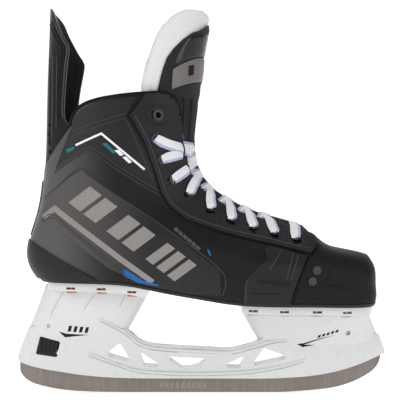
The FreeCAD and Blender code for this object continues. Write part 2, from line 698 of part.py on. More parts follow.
def rivet(x, top, edge, sole_top):
    """One rivet, from its head under the flange to its tail on the board."""
    centre = Vector(x, -(edge - RIVET_IN), top)
    up = Vector(0, 0, 1)
    shank = rod(centre, up, RIVET_R, -FLANGE_DEEP - 0.6, sole_top + 0.4)
    head = rod(centre, up, RIVET_HEAD_R, -FLANGE_DEEP - 0.4 - RIVET_HEAD_THICK, -FLANGE_DEEP - 0.4)
    tail = rod(centre, up, RIVET_TAIL_R, sole_top + 0.35, sole_top + 0.35 + RIVET_TAIL_THICK)
    hole = rod(centre, up, RIVET_R + RIVET_HOLE_GAP, -FLANGE_DEEP - 9, sole_top + 3)
    seat = rod(centre, up, RIVET_HEAD_R + 0.5, -FLANGE_DEEP - 30, -FLANGE_DEEP - 0.3)
    return shank.fuse([head, tail]).removeSplitter(), hole, seat


def groove_run(lift):
    return raised(RAIL_FOOT, lift)


HEEL_HOLLOW = [(-150, 62), (-30, 62), (-30, 100), (-150, 100)]
TOE_HOLLOW = [(20, 57), (150, 57), (150, 100), (20, 100)]


def holder_part(rivets):
    """The holder: rail and bridge, two hollow towers with their top plates, and everything cut from them."""
    top = [(148.6, 36.0), (144.0, 48.0)]
    wire = outline([(-146.4, 4.0)], [(148.0, 4.0)], top, BRIDGE_TOP, [(-138.0, 54.0), (-146.6, 30.9)])
    body = prism(wire, -RAIL_HALF, RAIL_HALF)
    under_sole = prism(band(-70.0, -FLANGE_DEEP / 2), -60, 60)
    for rows in (HEEL_TOWER, TOE_TOWER):
        body = body.fuse(tower(rows, 0.0).common(under_sole))
    above_rail = [(170.0, 32.4), (170.0, 120.0), (-170.0, 120.0), (-170.0, 26.4)]
    body = body.common(prism(outline(RAIL_FOOT, above_rail), -60, 60))
    body = body.fuse(flange(91.0, HEEL_FLANGE)).fuse(flange(76.0, TOE_FLANGE))
    axis = Vector(0, 1, 0)
    slim = RUNNER_THICK / 2 + GROOVE_SIDE
    groove_top = groove_run(RUNNER_INSET + GROOVE_ROOM)
    cutters = [
        tower(HEEL_TOWER, HOLDER_WALL).common(prism(polygon(*HEEL_HOLLOW), -60, 60)),
        tower(TOE_TOWER, HOLDER_WALL).common(prism(polygon(*TOE_HOLLOW), -60, 60)),
        prism(outline(raised(RAIL_FOOT, -30), groove_top[::-1]), -slim, slim),
        prism(rounded(TRIGGER_WINDOW, 1.4), -20, 20),
        prism(rounded(TRIGGER_ROOM, 1.0), -CAVITY_HALF, CAVITY_HALF),
        prism(rounded(HOOK_ROOM, 1.0), -slim, slim),
        rod(at(*HOOK_PIN), axis, HOOK_PIN_R + PIN_GLUE, -30, 30),
        rod(at(*TRIGGER_PIN), axis, TRIGGER_PIN_R + PIN_GLUE, -30, 30),
    ]
    cutters += [prism(rounded(w, WINDOW_ROUND), -20, 20) for w in WINDOWS]
    for x, top, edge, solids in rivets:
        slot = Part.makeBox(SLOT_LENGTH, RIVET_IN + 1.5, SLOT_HEIGHT)
        low = top - FLANGE_DEEP * 0.62 - SLOT_HEIGHT / 2
        slot.translate(Vector(x - SLOT_LENGTH / 2, -(edge + 1.5), low))
        for tool in (slot, solids[1], solids[2]):
            cutters += [tool, mirror(tool)]
    for cutter in cutters:
        body = body.cut(cutter)
    return body


TRIGGER_ROOM = [
    (-128.5, 60.5), (-114.5, 60.5), (-99.0, 48.0), (-98.0, 16.0), (-119.0, 14.0), (-140.0, 27.0),
    (-137.0, 40.0),
]  # fmt: skip
HOOK_ROOM = [(109.5, 58.5), (126.5, 58.5), (128.0, 20.0), (107.0, 14.0)]
RUNNER_EDGE = [
    (-146.1, 18.0), (-142.2, 11.6), (-137.2, 8.2), (-127.4, 5.0), (-112.5, 2.2), (-90.0, 0.5),
    (-62.0, 0.0), (-45.0, 0.0),
]  # fmt: skip
RUNNER_NOSE = [
    (50.0, 0.0), (66.0, 0.1), (89.7, 1.6), (109.3, 4.1), (122.4, 7.9), (135.5, 14.4), (143.2, 21.0),
    (145.9, 26.5), (146.6, 31.6),
]  # fmt: skip


def runner_part():
    """The blade: its edge below, the part in the groove above, the front eye and the rear nose."""
    top = groove_run(RUNNER_INSET)
    top = [(-146.3, top[0][1] - 3.0)] + top[1:-1] + [(146.6, top[-1][1] - 5.0)]
    wire = outline(RUNNER_EDGE, [(-45.0, 0.0), (50.0, 0.0)], RUNNER_NOSE, top[::-1])
    half = RUNNER_THICK / 2
    blade = prism(wire, -half, half)
    eye = rod(at(*HOOK_PIN), Vector(0, 1, 0), 5.6, -half, half)
    stem = prism(polygon((112.6, 51.0), (123.4, 51.0), (124.5, 24.0), (111.5, 20.0)), -half, half)
    nose_line = [(-99.8, 47.0), (-107.6, 47.0), (-110.9, 43.6), (-106.0, 37.4), (-106.0, 17.0), (-99.8, 17.0)]
    nose = prism(polygon(*nose_line), -half, half)
    hole = rod(at(*HOOK_PIN), Vector(0, 1, 0), HOOK_PIN_R + PIN_PLAY, -half - 1, half + 1)
    return blade.fuse([eye, stem, nose]).removeSplitter().cut(hole)


def trigger_part():
    """The trigger: an eye on its pin, a ribbed grip in the window and a tooth under the runner's nose."""
    axis = Vector(0, 1, 0)
    grip = prism(
        rounded([(-127.4, 48.5), (-115.6, 48.5), (-114.4, 42.0), (-117.0, 30.6), (-131.0, 32.6)], 0.8),
        -TRIGGER_HALF, TRIGGER_HALF,
    )  # fmt: skip
    gap = TOOTH_GAP
    tooth = prism(
        polygon(
            (-116.5, 45.0), (-112.4 - gap, 43.6), (-107.4 - gap, 37.0), (-107.6 - gap, 35.4), (-117.0, 34.0),
        ),
        -RUNNER_THICK / 2, RUNNER_THICK / 2,
    )  # fmt: skip
    neck_line = polygon((-124.4, 55.0), (-118.6, 55.0), (-118.6, 46.0), (-124.4, 46.0))
    neck = prism(neck_line, -TRIGGER_EYE_HALF, TRIGGER_EYE_HALF)
    eye = rod(at(*TRIGGER_PIN), axis, TRIGGER_PIN_R + 1.8, -TRIGGER_EYE_HALF, TRIGGER_EYE_HALF)
    body = grip.fuse([tooth, neck, eye]).removeSplitter()
    body = body.cut(rod(at(*TRIGGER_PIN), axis, TRIGGER_PIN_R + PIN_PLAY, -10, 10))
    ribs = []
    for side in (-1, 1):
        for k in range(4):
            x = -127.6 + 3.3 * k
            rib_line = polygon((x, 45.6), (x + 1.3, 45.3), (x + 0.5, 33.6), (x - 0.8, 33.8))
            rib = prism(rib_line, TRIGGER_HALF - 0.7, 9)
            ribs.append(rib if side > 0 else mirror(rib))
    return body.cut(ribs)


def spring_part():
    """The trigger's torsion spring: a small coil on each side of the trigger's eye, turn beside turn."""
    turns = []
    for k in range(SPRING_TURNS):
        across = TRIGGER_EYE_HALF + 0.6 + SPRING_WIRE * 1.1 * k
        centre = at(*TRIGGER_PIN) + Vector(0, across, 0)
        turn = Part.makeTorus(SPRING_R, SPRING_WIRE / 2, centre, Vector(0, 1, 0))
        turns += [turn, mirror(turn)]
    return turns


def seam_strip():
    """The strip up the back that covers the seam between the boot's halves."""
    wire = outline([(-150.0, 126.5), (-120.0, 126.5)], [(-112.0, 194.0), (-140.0, 159.5)])
    return whole(skin(GLUE + 0.9).common(prism(wire, -6.0, 0.0)).cut(skin(GLUE)))


def cap_rivets():
    """Two round bosses on each side of the toe cap."""
    bosses = []
    for x, z in ((87.1, 103.6), (83.7, 95.4)):
        point, out = on_skin(x, z)
        bosses.append(rod(point, out, CAP_RIVET_R, 0.35, 1.3))
    return bosses


def seat(made):
    """Let each softer piece give way where a harder one is pressed into it."""
    for soft, hard in SEATED:
        cuts = [piece.cut(made[hard]) for piece in made[soft]]
        made[soft] = [solid for cut in cuts for solid in cut.Solids if solid.Volume > CRUMB]
    start = at(TOE_FLANGE[0] - 0.1, REBATE_TOP)
    rebate = Part.makeBox(at(REBATE_END, 0).x - start.x, 80.0, 6.0, Vector(start.x, -40.0, start.z - 6.0))
    made["outsole"] = [piece.cut(rebate) for piece in made["outsole"]]


def build():
    made = {}
    quarter, liner, pad = boot_half()
    facing = facing_half()
    eyelets, holes = zip(*[eyelet_parts(*place) for place, _ in EYELETS])
    quarter = quarter.cut(list(holes))
    facing = facing.cut(list(holes))
    halves = {"quarter": quarter, "liner": liner, "ankle_pad": pad, "facing": facing}
    halves["side_wing"] = wing_half()
    for name, half in halves.items():
        made[name + "_outer"] = [half]
        made[name + "_inner"] = [mirror(half)]
    made["eyelets_outer"] = list(eyelets)
    made["eyelets_inner"] = [mirror(e) for e in eyelets]
    made["heel_counter"] = [whole(counter_half())]
    made["heel_seam_strip"] = [seam_strip()]
    made["toe_cap"] = [whole(cap_half())]
    made["toe_cap_lining"] = [whole(cap_lining_half())]
    bosses = cap_rivets()
    made["toe_cap_rivets"] = bosses + [mirror(b) for b in bosses]
    made["lace"] = lace_rungs()
    names = ["cover_lower", "felt_lower", "cover_upper", "felt_upper", "label"]
    for name, shape in zip(names, tongue_parts()):
        made["tongue_" + name] = [shape]
    guard, guard_pad = guard_parts()
    made["tendon_guard"] = [guard]
    made["tendon_guard_pad"] = [guard_pad]

    outsole, board, insole = sole_layers()
    sole_top = BOTTOM + BOARD_THICK
    rivets = [(x, top, edge, rivet(x, top, edge, sole_top)) for x, top, edge in rivet_places()]
    holes = [r[3][1] for r in rivets]
    holes += [mirror(h) for h in holes]
    seats = []
    for x, top, edge, _ in rivets:
        centre = Vector(x, -(edge - RIVET_IN), top)
        seats.append(rod(centre, Vector(0, 0, 1), RIVET_TAIL_R + 0.4, sole_top, sole_top + 3))
    seats += [mirror(s) for s in seats]
    made["outsole"] = [outsole.cut(holes)]
    made["lasting_board"] = [board.cut(holes)]
    made["insole"] = [insole.cut(seats)]
    made["liner_outer"] = [made["liner_outer"][0].cut(seats)]
    made["liner_inner"] = [made["liner_inner"][0].cut(seats)]
    made["holder"] = [holder_part(rivets)]
    heel = [r[3][0] for r in rivets[: len(HEEL_RIVETS)]]
    toe = [r[3][0] for r in rivets[len(HEEL_RIVETS):]]
    made["heel_rivets"] = heel + [mirror(r) for r in heel]
    made["toe_rivets"] = toe + [mirror(r) for r in toe]
    made["runner"] = [runner_part()]
    made["trigger"] = [trigger_part()]
    axis = Vector(0, 1, 0)
    made["trigger_pin"] = [rod(at(*TRIGGER_PIN), axis, TRIGGER_PIN_R, -8.0, 8.0)]
    made["hook_pin"] = [rod(at(*HOOK_PIN), axis, HOOK_PIN_R, -9.0, 9.0)]
    made["trigger_spring"] = spring_part()
    seat(made)
    return made


def main():
    os.makedirs("parts", exist_ok=True)
    for name, shapes in build().items():
        solids = [s for shape in shapes for s in shape.Solids]
        shape = solids[0] if len(solids) == 1 else Part.makeCompound(solids)
        shape.exportStep(f"parts/{name}.step")
        box = shape.BoundBox
        state = "valid" if shape.isValid() else "NOT VALID"
        sides = [round(v, 1) for v in (box.XMin, box.XMax, box.YMin, box.YMax, box.ZMin, box.ZMax)]
        print(name, len(solids), "solids", state, round(shape.Volume), sides)


main()
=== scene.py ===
import math

import bmesh
import bpy
from bpy.props import FloatProperty, FloatVectorProperty, PointerProperty
from mathutils import Matrix, Vector
from mathutils.bvhtree import BVHTree


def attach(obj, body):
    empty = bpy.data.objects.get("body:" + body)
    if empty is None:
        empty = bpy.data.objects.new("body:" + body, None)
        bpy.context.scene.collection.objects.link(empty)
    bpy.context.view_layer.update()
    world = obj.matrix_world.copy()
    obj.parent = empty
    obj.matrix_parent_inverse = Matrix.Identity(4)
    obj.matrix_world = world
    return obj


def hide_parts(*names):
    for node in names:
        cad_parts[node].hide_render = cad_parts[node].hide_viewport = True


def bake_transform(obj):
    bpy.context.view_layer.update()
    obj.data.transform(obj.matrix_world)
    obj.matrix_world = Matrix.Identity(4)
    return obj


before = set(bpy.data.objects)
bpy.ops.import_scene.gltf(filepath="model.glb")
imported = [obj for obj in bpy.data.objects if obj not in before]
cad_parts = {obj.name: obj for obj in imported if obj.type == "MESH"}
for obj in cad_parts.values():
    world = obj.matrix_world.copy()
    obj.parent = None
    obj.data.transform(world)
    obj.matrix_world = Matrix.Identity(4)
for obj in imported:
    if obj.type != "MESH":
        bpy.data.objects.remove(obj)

bl_info = {
    "name": "Hockey skate looks",
    "version": (1, 0, 0),
    "blender": (4, 5, 0),
    "location": "View3D > Sidebar > Skate",
    "description": "Builds the visible surfaces of a laced ice hockey skate on its CAD frame",
    "category": "Object",
}

# Side-view points are (X, Z) in millimetres. The outer side of the boot has Y below zero.
MM = 0.001
SIDES = {"outer": -1, "inner": 1}
RAY_START = 0.09  # how far outside its centre a ray towards the tongue starts, in metres
LABEL_X = -0.038  # the upright lines that the rays to the label, the lining and the guard's pad turn about
LINING_X = -0.066
GUARD_X = -0.088
TOE_PUSH = (5.6, -1.4)  # how far the toe cap's upper corner moves forward and down
VIEW_WIDTH = 0.326  # metres that the camera takes in at the skate's middle

COLLAR_EDGE = [
    (-99.3, 212.4), (-98.0, 219.0), (-91.5, 227.2), (-79.0, 232.0), (-60.0, 235.2), (-40.0, 237.4),
    (-30.0, 237.9), (-22.5, 236.0), (-18.0, 230.0), (-16.0, 222.0), (-14.8, 210.0),
]  # fmt: skip
FACING_FRONT = [
    (-14.8, 210.0), (-13.2, 196.0), (-9.6, 183.0), (-3.0, 170.0), (10.0, 158.0), (29.0, 147.2),
    (49.0, 140.2), (68.0, 135.0), (80.0, 131.4), (86.0, 129.0), (88.4, 125.6), (87.0, 119.8), (83.0, 115.8),
]  # fmt: skip
FACING_FOOT = [
    (83.0, 115.8), (66.4, 119.3), (53.7, 122.6), (35.0, 126.7), (14.7, 132.0), (-10.2, 141.0),
    (-23.1, 150.8), (-30.0, 162.1), (-33.5, 174.0), (-42.2, 200.1), (-52.8, 219.9), (-42.0, 236.8),
]  # fmt: skip
GUARD_FRONT = [
    (-100.6, 212.8), (-104.2, 219.0), (-104.8, 228.0), (-104.0, 240.0), (-102.4, 254.0), (-100.4, 267.0),
    (-100.2, 273.5), (-104.0, 280.5), (-109.0, 290.0), (-112.6, 298.0), (-115.4, 305.0),
]  # fmt: skip


# --- Shapes ---------------------------------------------------------------------------------------


def smooth_path(points, count):
    """A Catmull-Rom curve through the points, resampled to count even steps."""
    pts = [Vector(p) for p in points]
    fine = []
    for k in range(len(pts) - 1):
        p0, p1, p2, p3 = pts[max(k - 1, 0)], pts[k], pts[k + 1], pts[min(k + 2, len(pts) - 1)]
        for i in range(16):
            t = i / 16
            a, b = 2 * p1, (p2 - p0) * t
            c, d = (2 * p0 - 5 * p1 + 4 * p2 - p3) * t * t, (3 * p1 - p0 - 3 * p2 + p3) * t**3
            fine.append((a + b + c + d) * 0.5)
    fine.append(pts[-1])
    return even_steps(fine, count)


def even_steps(pts, count):
    """The polyline resampled to count points at equal distances."""
    pts = [Vector(p) for p in pts]
    run = [0.0]
    for a, b in zip(pts, pts[1:]):
        run.append(run[-1] + (b - a).length)
    out, k = [], 0
    for i in range(count):
        goal = run[-1] * i / (count - 1)
        while k < len(run) - 2 and run[k + 1] < goal:
            k += 1
        span = run[k + 1] - run[k]
        out.append(pts[k].lerp(pts[k + 1], (goal - run[k]) / span if span else 0.0))
    return out


def path_length(pts):
    """The length of the line through the points."""
    return sum((Vector(b) - Vector(a)).length for a, b in zip(pts, pts[1:]))


def finish_mesh(bm, name, material, body, sharp=38.0, smooth=True):
    """Turns the bmesh into an object of the given material that rides on the body."""
    bmesh.ops.recalc_face_normals(bm, faces=bm.faces[:])
    for face in bm.faces:
        face.smooth = smooth
    mesh = bpy.data.meshes.new(name)
    bm.to_mesh(mesh)
    bm.free()
    if smooth:
        mesh.set_sharp_from_angle(angle=math.radians(sharp))
    piece = bpy.data.objects.new(name, mesh)
    bpy.context.scene.collection.objects.link(piece)
    mesh.materials.append(bpy.data.materials[material])
    if body:
        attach(piece, body)
    return piece


class Surface:
    """The CAD nodes' surfaces, hit by rays."""

    def __init__(self, *nodes):
        self.trees = []
        for node in nodes:
            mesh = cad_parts[node].data
            corners = [v.co.copy() for v in mesh.vertices]
            self.trees.append(BVHTree.FromPolygons(corners, [p.vertices[:] for p in mesh.polygons]))

    def hit(self, origin, direction, reach=1.0):
        """The first point hit, and the normal turned against the ray."""
        best = None
        for tree in self.trees:
            point, normal, _, far = tree.ray_cast(origin, direction, reach)
            if point and (best is None or far < best[2]):
                best = (point, normal if normal.dot(direction) < 0 else -normal, far)
        return best

    def nearest(self, place):
        """The nearest point of any node, with its normal."""
        found = [tree.find_nearest(place) for tree in self.trees]
        return min(found, key=lambda f: f[3])

    def side(self, x, z, side, lift=0.0):
        """The point of the skin that shows at (x, z) from that side, lifted off, and its normal."""
        found = self.hit(Vector((x * MM, side * 0.15, z * MM)), Vector((0, -side, 0)), 0.15)
        if found:
            point, normal = found[0], found[1]
        else:
            point, normal, _, _ = self.nearest(Vector((x * MM, side * 0.02, z * MM)))
            normal = normal if normal.y * side > 0 else -normal
        return point + normal * (lift * MM), normal


def islands(node):
    """The centre of each loose piece of a CAD node."""
    bm = bmesh.new()
    bm.from_mesh(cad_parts[node].data)
    bmesh.ops.remove_doubles(bm, verts=bm.verts[:], dist=1e-6)
    seen, groups = set(), []
    for start in bm.verts:
        if start in seen:
            continue
        group, todo = [], [start]
        seen.add(start)
        while todo:
            vert = todo.pop()
            group.append(vert.co.copy())
            for edge in vert.link_edges:
                other = edge.other_vert(vert)
                if other not in seen:
                    seen.add(other)
                    todo.append(other)
        groups.append(group)
    bm.free()
    return [sum(g, Vector()) / len(g) for g in groups]


def draped(name, outline, surface, side, lift, thick, material, body="boot", cell=2.5, rim=0.0, holes=()):
    """A flat shape drawn in the side view and laid over the surface, thick towards the outside."""
    bm = bmesh.new()
    face = bm.faces.new([bm.verts.new((x * MM, 0, z * MM)) for x, z in outline])
    face.normal_update()
    bmesh.ops.triangulate(bm, faces=[face], ngon_method="EAR_CLIP")
    low = [min(p[i] for p in outline) for i in (0, 1)]
    high = [max(p[i] for p in outline) for i in (0, 1)]
    for axis, i in (((1, 0, 0), 0), ((0, 0, 1), 1)):
        for k in range(1, int((high[i] - low[i]) / cell) + 1):
            place = Vector(axis) * ((low[i] + k * cell) * MM)
            geom = bm.verts[:] + bm.edges[:] + bm.faces[:]
            bmesh.ops.bisect_plane(bm, geom=geom, dist=1e-6, plane_co=place, plane_no=axis)
    bmesh.ops.remove_doubles(bm, verts=bm.verts[:], dist=2e-5)
    bmesh.ops.dissolve_degenerate(bm, dist=1e-6, edges=bm.edges[:])
    normals = {}
    for vert in bm.verts:
        x, z = vert.co.x / MM, vert.co.z / MM
        point, normal = over_holes(surface, x, z, side, holes)
        vert.co = point + normal * (lift * MM)
        normals[vert] = normal
    if thick:
        rise = {v: n * (thick * MM) for v, n in normals.items()}
        made = bmesh.ops.extrude_face_region(bm, geom=bm.faces[:], use_keep_orig=True)
        tops = [g for g in made["geom"] if isinstance(g, bmesh.types.BMVert)]
        bm.verts.ensure_lookup_table()
        base = {tuple(round(c, 7) for c in v.co): n for v, n in rise.items()}
        for vert in tops:
            vert.co += base[tuple(round(c, 7) for c in vert.co)]
        if rim:
            top_faces = {g for g in made["geom"] if isinstance(g, bmesh.types.BMFace)}
            edges = [e for e in bm.edges if len([f for f in e.link_faces if f in top_faces]) == 1]
            bmesh.ops.bevel(
                bm, geom=edges, offset=rim * MM, segments=3, profile=0.6, affect="EDGES", clamp_overlap=True,
                material=-1,
            )  # fmt: skip
    return finish_mesh(bm, name, material, body)


def over_holes(surface, x, z, side, holes, radius=5.2):
    """The skin's point at (x, z), carried smoothly across any eyelet hole there."""
    for hx, hz in holes:
        if (x - hx) ** 2 + (z - hz) ** 2 < (radius - 0.8) ** 2:
            ring = []
            for i in range(8):
                turn = math.pi * i / 4
                ring.append(surface.side(hx + radius * math.cos(turn), hz + radius * math.sin(turn), side))
            normal = sum((r[1] for r in ring), Vector()).normalized()
            centre = sum((r[0] for r in ring), Vector()) / 8 + normal * 0.0004
            line = Vector((0, 1, 0))
            start = Vector((x * MM, 0, z * MM))
            return start + line * ((centre - start).dot(normal) / normal.dot(line)), normal
    return surface.side(x, z, side)


def strip(name, points, normals, width, thick, material, body="boot", across=4, dome=0.25, taper=None):
    """A ribbon along the points, flat against the normals, with its own length and width map."""
    bm = bmesh.new()
    count = len(points)
    bmesh.ops.create_grid(bm, x_segments=count - 1, y_segments=across * 2 + 1, size=1.0)
    uv = bm.loops.layers.uv.new("strand")
    bm.verts.ensure_lookup_table()
    columns = sorted({round(v.co.x, 5) for v in bm.verts})
    rows = sorted({round(v.co.y, 5) for v in bm.verts})
    run = [0.0]
    for a, b in zip(points, points[1:]):
        run.append(run[-1] + (b - a).length)
    place, mapped = {}, {}
    for vert in bm.verts:
        i, j = columns.index(round(vert.co.x, 5)), rows.index(round(vert.co.y, 5))
        along = (points[min(i + 1, count - 1)] - points[max(i - 1, 0)]).normalized()
        sideways = along.cross(normals[i]).normalized()
        top = j <= across
        v = -1 + 2 * j / across if top else 1 - 2 * (j - across - 1) / across
        half = width * MM / 2 * (taper(i / (count - 1)) if taper else 1.0)
        height = thick * MM * ((1 - dome * v * v) if top else 0.0)
        place[vert] = points[i] + sideways * (v * half) + normals[i] * height
        mapped[vert] = (run[i] / MM, v * 0.5 + 0.5)
    for vert, co in place.items():
        vert.co = co
    for face in bm.faces:
        for loop in face.loops:
            loop[uv].uv = mapped[loop.vert]
    close_ribbon(bm)
    return finish_mesh(bm, name, material, body, sharp=60)


def close_ribbon(bm):
    """Closes a ribbon's second long edge and both ends."""
    border = [e for e in bm.edges if e.is_boundary]
    if border:
        bmesh.ops.holes_fill(bm, edges=border, sides=0)
    bmesh.ops.triangulate(bm, faces=[f for f in bm.faces if len(f.verts) > 4])


def tube(name, points, radius, material, body="boot", sides=8, taper=None):
    """A round cord along the points."""
    bm = bmesh.new()
    count = len(points)
    loops = []
    normal = Vector((0, 1, 0)) if abs((points[1] - points[0]).normalized().y) < 0.9 else Vector((1, 0, 0))
    for i, point in enumerate(points):
        along = (points[min(i + 1, count - 1)] - points[max(i - 1, 0)]).normalized()
        normal = (normal - along * normal.dot(along)).normalized()
        turn = Matrix((normal, along.cross(normal), along)).transposed().to_4x4()
        size = radius * MM * (taper(i / (count - 1)) if taper else 1.0)
        place = Matrix.Translation(point) @ turn
        made = bmesh.ops.create_circle(
            bm, cap_ends=i in (0, count - 1), segments=sides, radius=size, matrix=place
        )
        ring = set(made["verts"])
        loops.append([e for v in ring for e in v.link_edges if e.other_vert(v) in ring])
    for a, b in zip(loops, loops[1:]):
        bmesh.ops.bridge_loops(bm, edges=list(set(a)) + list(set(b)))
    return finish_mesh(bm, name, material, body, sharp=70)


def cushion(name, rows, material, body="boot", sharp=80):
    """A soft piece: a grid of (point, normal, half thickness) rows, both faces meeting where that is zero."""
    bm = bmesh.new()
    for face in (1, -1):
        made = bmesh.ops.create_grid(bm, x_segments=len(rows) - 1, y_segments=len(rows[0]) - 1, size=1.0)
        verts = made["verts"]
        xs = sorted({round(v.co.x, 5) for v in verts})
        ys = sorted({round(v.co.y, 5) for v in verts})
        goal = {}
        for vert in verts:
            point, normal, half = rows[xs.index(round(vert.co.x, 5))][ys.index(round(vert.co.y, 5))]
            goal[vert] = point + normal * (half * face)
        for vert, co in goal.items():
            vert.co = co
        if face < 0:
            bmesh.ops.reverse_faces(bm, faces=list({f for v in verts for f in v.link_faces}))
    bmesh.ops.remove_doubles(bm, verts=bm.verts[:], dist=4e-6)
    bmesh.ops.dissolve_degenerate(bm, dist=1e-7, edges=bm.edges[:])
    return finish_mesh(bm, name, material, body, sharp=sharp)


def stitches(name, points, normals, material, body="boot", length=2.2, radius=0.28, gap=1.1):
    """A run of sewn stitches along the points."""
    bm = bmesh.new()
    total = path_length(points) / MM
    count = max(2, int(total / (length + gap)))
    places = even_steps(points, count)
    ups = even_steps(normals, count)
    for i, point in enumerate(places):
        along = (places[min(i + 1, count - 1)] - places[max(i - 1, 0)]).normalized()
        up = ups[i].normalized()
        up = (up - along * up.dot(along)).normalized()
        turn = Matrix((along, up.cross(along), up)).transposed().to_4x4()
        size = Matrix.Diagonal((length * MM / 2, radius * MM, radius * MM * 0.9, 1))
        bmesh.ops.create_icosphere(
            bm, subdivisions=1, radius=1.0, matrix=Matrix.Translation(point) @ turn @ size,
        )
    return finish_mesh(bm, name, material, body, sharp=180)


def run_on(surface, path, side, lift, step=2.0, holes=()):
    """A side-view path laid on the surface: its points and normals."""
    drawn = [(x, z, 0) for x, z in path]
    flat = smooth_path(drawn, max(3, int(path_length(drawn) / step)))
    found = [over_holes(surface, p.x, p.y, side, holes) for p in flat]
    return [p + n * (lift * MM) for p, n in found], [n for _, n in found]


def band_outline(path, width):
    """The outline of a stripe of that width along a polyline with mitred corners."""
    pts = [Vector(p) for p in path]
    left, right = [], []
    for k, p in enumerate(pts):
        before = (p - pts[k - 1]).normalized() if k else (pts[1] - p).normalized()
        after = (pts[k + 1] - p).normalized() if k < len(pts) - 1 else before
        across = Vector((-before.y, before.x)) + Vector((-after.y, after.x))
        square = across.normalized()
        across = square * (width / 2 / max(0.4, square.dot(Vector((-after.y, after.x)))))
        left.append(p + across)
        right.append(p - across)
    return [tuple(p) for p in left + right[::-1]]


# --- Materials ------------------------------------------------------------------------------------


class Nodes:
    """A short way to build one procedural material."""

    def __init__(self, name):
        self.material = bpy.data.materials.new(name)
        self.material.use_nodes = True
        self.tree = self.material.node_tree
        self.shader = self.tree.nodes["Principled BSDF"]
        self.coord = self.tree.nodes.new("ShaderNodeTexCoord")

    def add(self, kind, **values):
        """A node of a kind, with its inputs or settings filled in."""
        node = self.tree.nodes.new(kind)
        for key, value in values.items():
            if key in node.inputs:
                node.inputs[key].default_value = value
            else:
                setattr(node, key, value)
        return node

    def link(self, a, b):
        """Joins an output to an input."""
        self.tree.links.new(a, b)

    def mapped(self, scale):
        """The piece's own coordinates, scaled."""
        node = self.add("ShaderNodeMapping")
        node.inputs["Scale"].default_value = scale
        self.link(self.coord.outputs["Object"], node.inputs["Vector"])
        return node.outputs[0]

    def ramp(self, value, low, high, start=0.35, stop=0.65):
        """A value turned into a colour between two."""
        node = self.add("ShaderNodeValToRGB")
        node.color_ramp.elements[0].position = start
        node.color_ramp.elements[1].position = stop
        node.color_ramp.elements[0].color = (*low, 1)
        node.color_ramp.elements[1].color = (*high, 1)
        self.link(value, node.inputs[0])
        return node.outputs[0]

    def bump(self, height, strength, distance):
        """A relief that follows a height."""
        node = self.add("ShaderNodeBump", Strength=strength, Distance=distance)
        self.link(height, node.inputs["Height"])
        return node.outputs[0]


def grained(
    name, dark, light, rough, scale, strength,
    distance=0.0002, metallic=0.0, kind="noise", gloss=0.22, painted_highlight=None, **shader,
):  # fmt: skip
    """A surface with a two-tone grain, its relief and a patchy roughness.

    A painted highlight can lighten it towards the heel.
    """
    n = Nodes(name)
    n.shader.inputs["Specular IOR Level"].default_value = gloss
    if kind == "weave":
        both = n.add("ShaderNodeMath", operation="MAXIMUM")
        for k, lean in enumerate((scale, -scale)):
            wave = n.add("ShaderNodeTexWave", bands_direction="DIAGONAL", Scale=1.0, Distortion=0.6)
            n.link(n.mapped((lean, scale, scale)), wave.inputs["Vector"])
            n.link(wave.outputs[1], both.inputs[k])
        grain = both.outputs[0]
    else:
        if kind == "cells":
            grain = n.add("ShaderNodeTexVoronoi", Scale=1.0).outputs["Distance"]
        else:
            grain = n.add("ShaderNodeTexNoise", Scale=1.0, Detail=4.0).outputs[0]
        n.link(n.mapped((scale, scale, scale)), grain.node.inputs["Vector"])
    tone = n.ramp(grain, dark, light, 0.3, 0.72)
    if painted_highlight:
        tone = paint_highlight(n, tone, *painted_highlight)
    n.link(tone, n.shader.inputs["Base Color"])
    patch = n.add("ShaderNodeTexNoise", Scale=1.0, Detail=2.0)
    n.link(n.mapped((60, 60, 60)), patch.inputs["Vector"])
    spread = n.add("ShaderNodeMapRange")
    spread.inputs["To Min"].default_value = max(0.05, rough - 0.08)
    spread.inputs["To Max"].default_value = min(1.0, rough + 0.08)
    n.link(patch.outputs[0], spread.inputs[0])
    n.link(spread.outputs[0], n.shader.inputs["Roughness"])
    n.link(n.bump(grain, strength, distance), n.shader.inputs["Normal"])
    n.shader.inputs["Metallic"].default_value = metallic
    for key, value in shader.items():
        n.shader.inputs[key].default_value = value
    return n


def paint_highlight(n, tone, gain, heel, front):
    """The tone multiplied by up to gain towards the heel, along X: a painted highlight."""
    parts = n.add("ShaderNodeSeparateXYZ")
    n.link(n.coord.outputs["Object"], parts.inputs[0])
    share = n.add("ShaderNodeMapRange", interpolation_type="SMOOTHSTEP")
    share.inputs["From Min"].default_value = front
    share.inputs["From Max"].default_value = heel
    n.link(parts.outputs[0], share.inputs["Value"])
    mix = n.add("ShaderNodeMix", data_type="RGBA", blend_type="MULTIPLY")
    mix.inputs[7].default_value = (*gain, 1)
    n.link(share.outputs[0], mix.inputs[0])
    n.link(tone, mix.inputs[6])
    return mix.outputs[2]


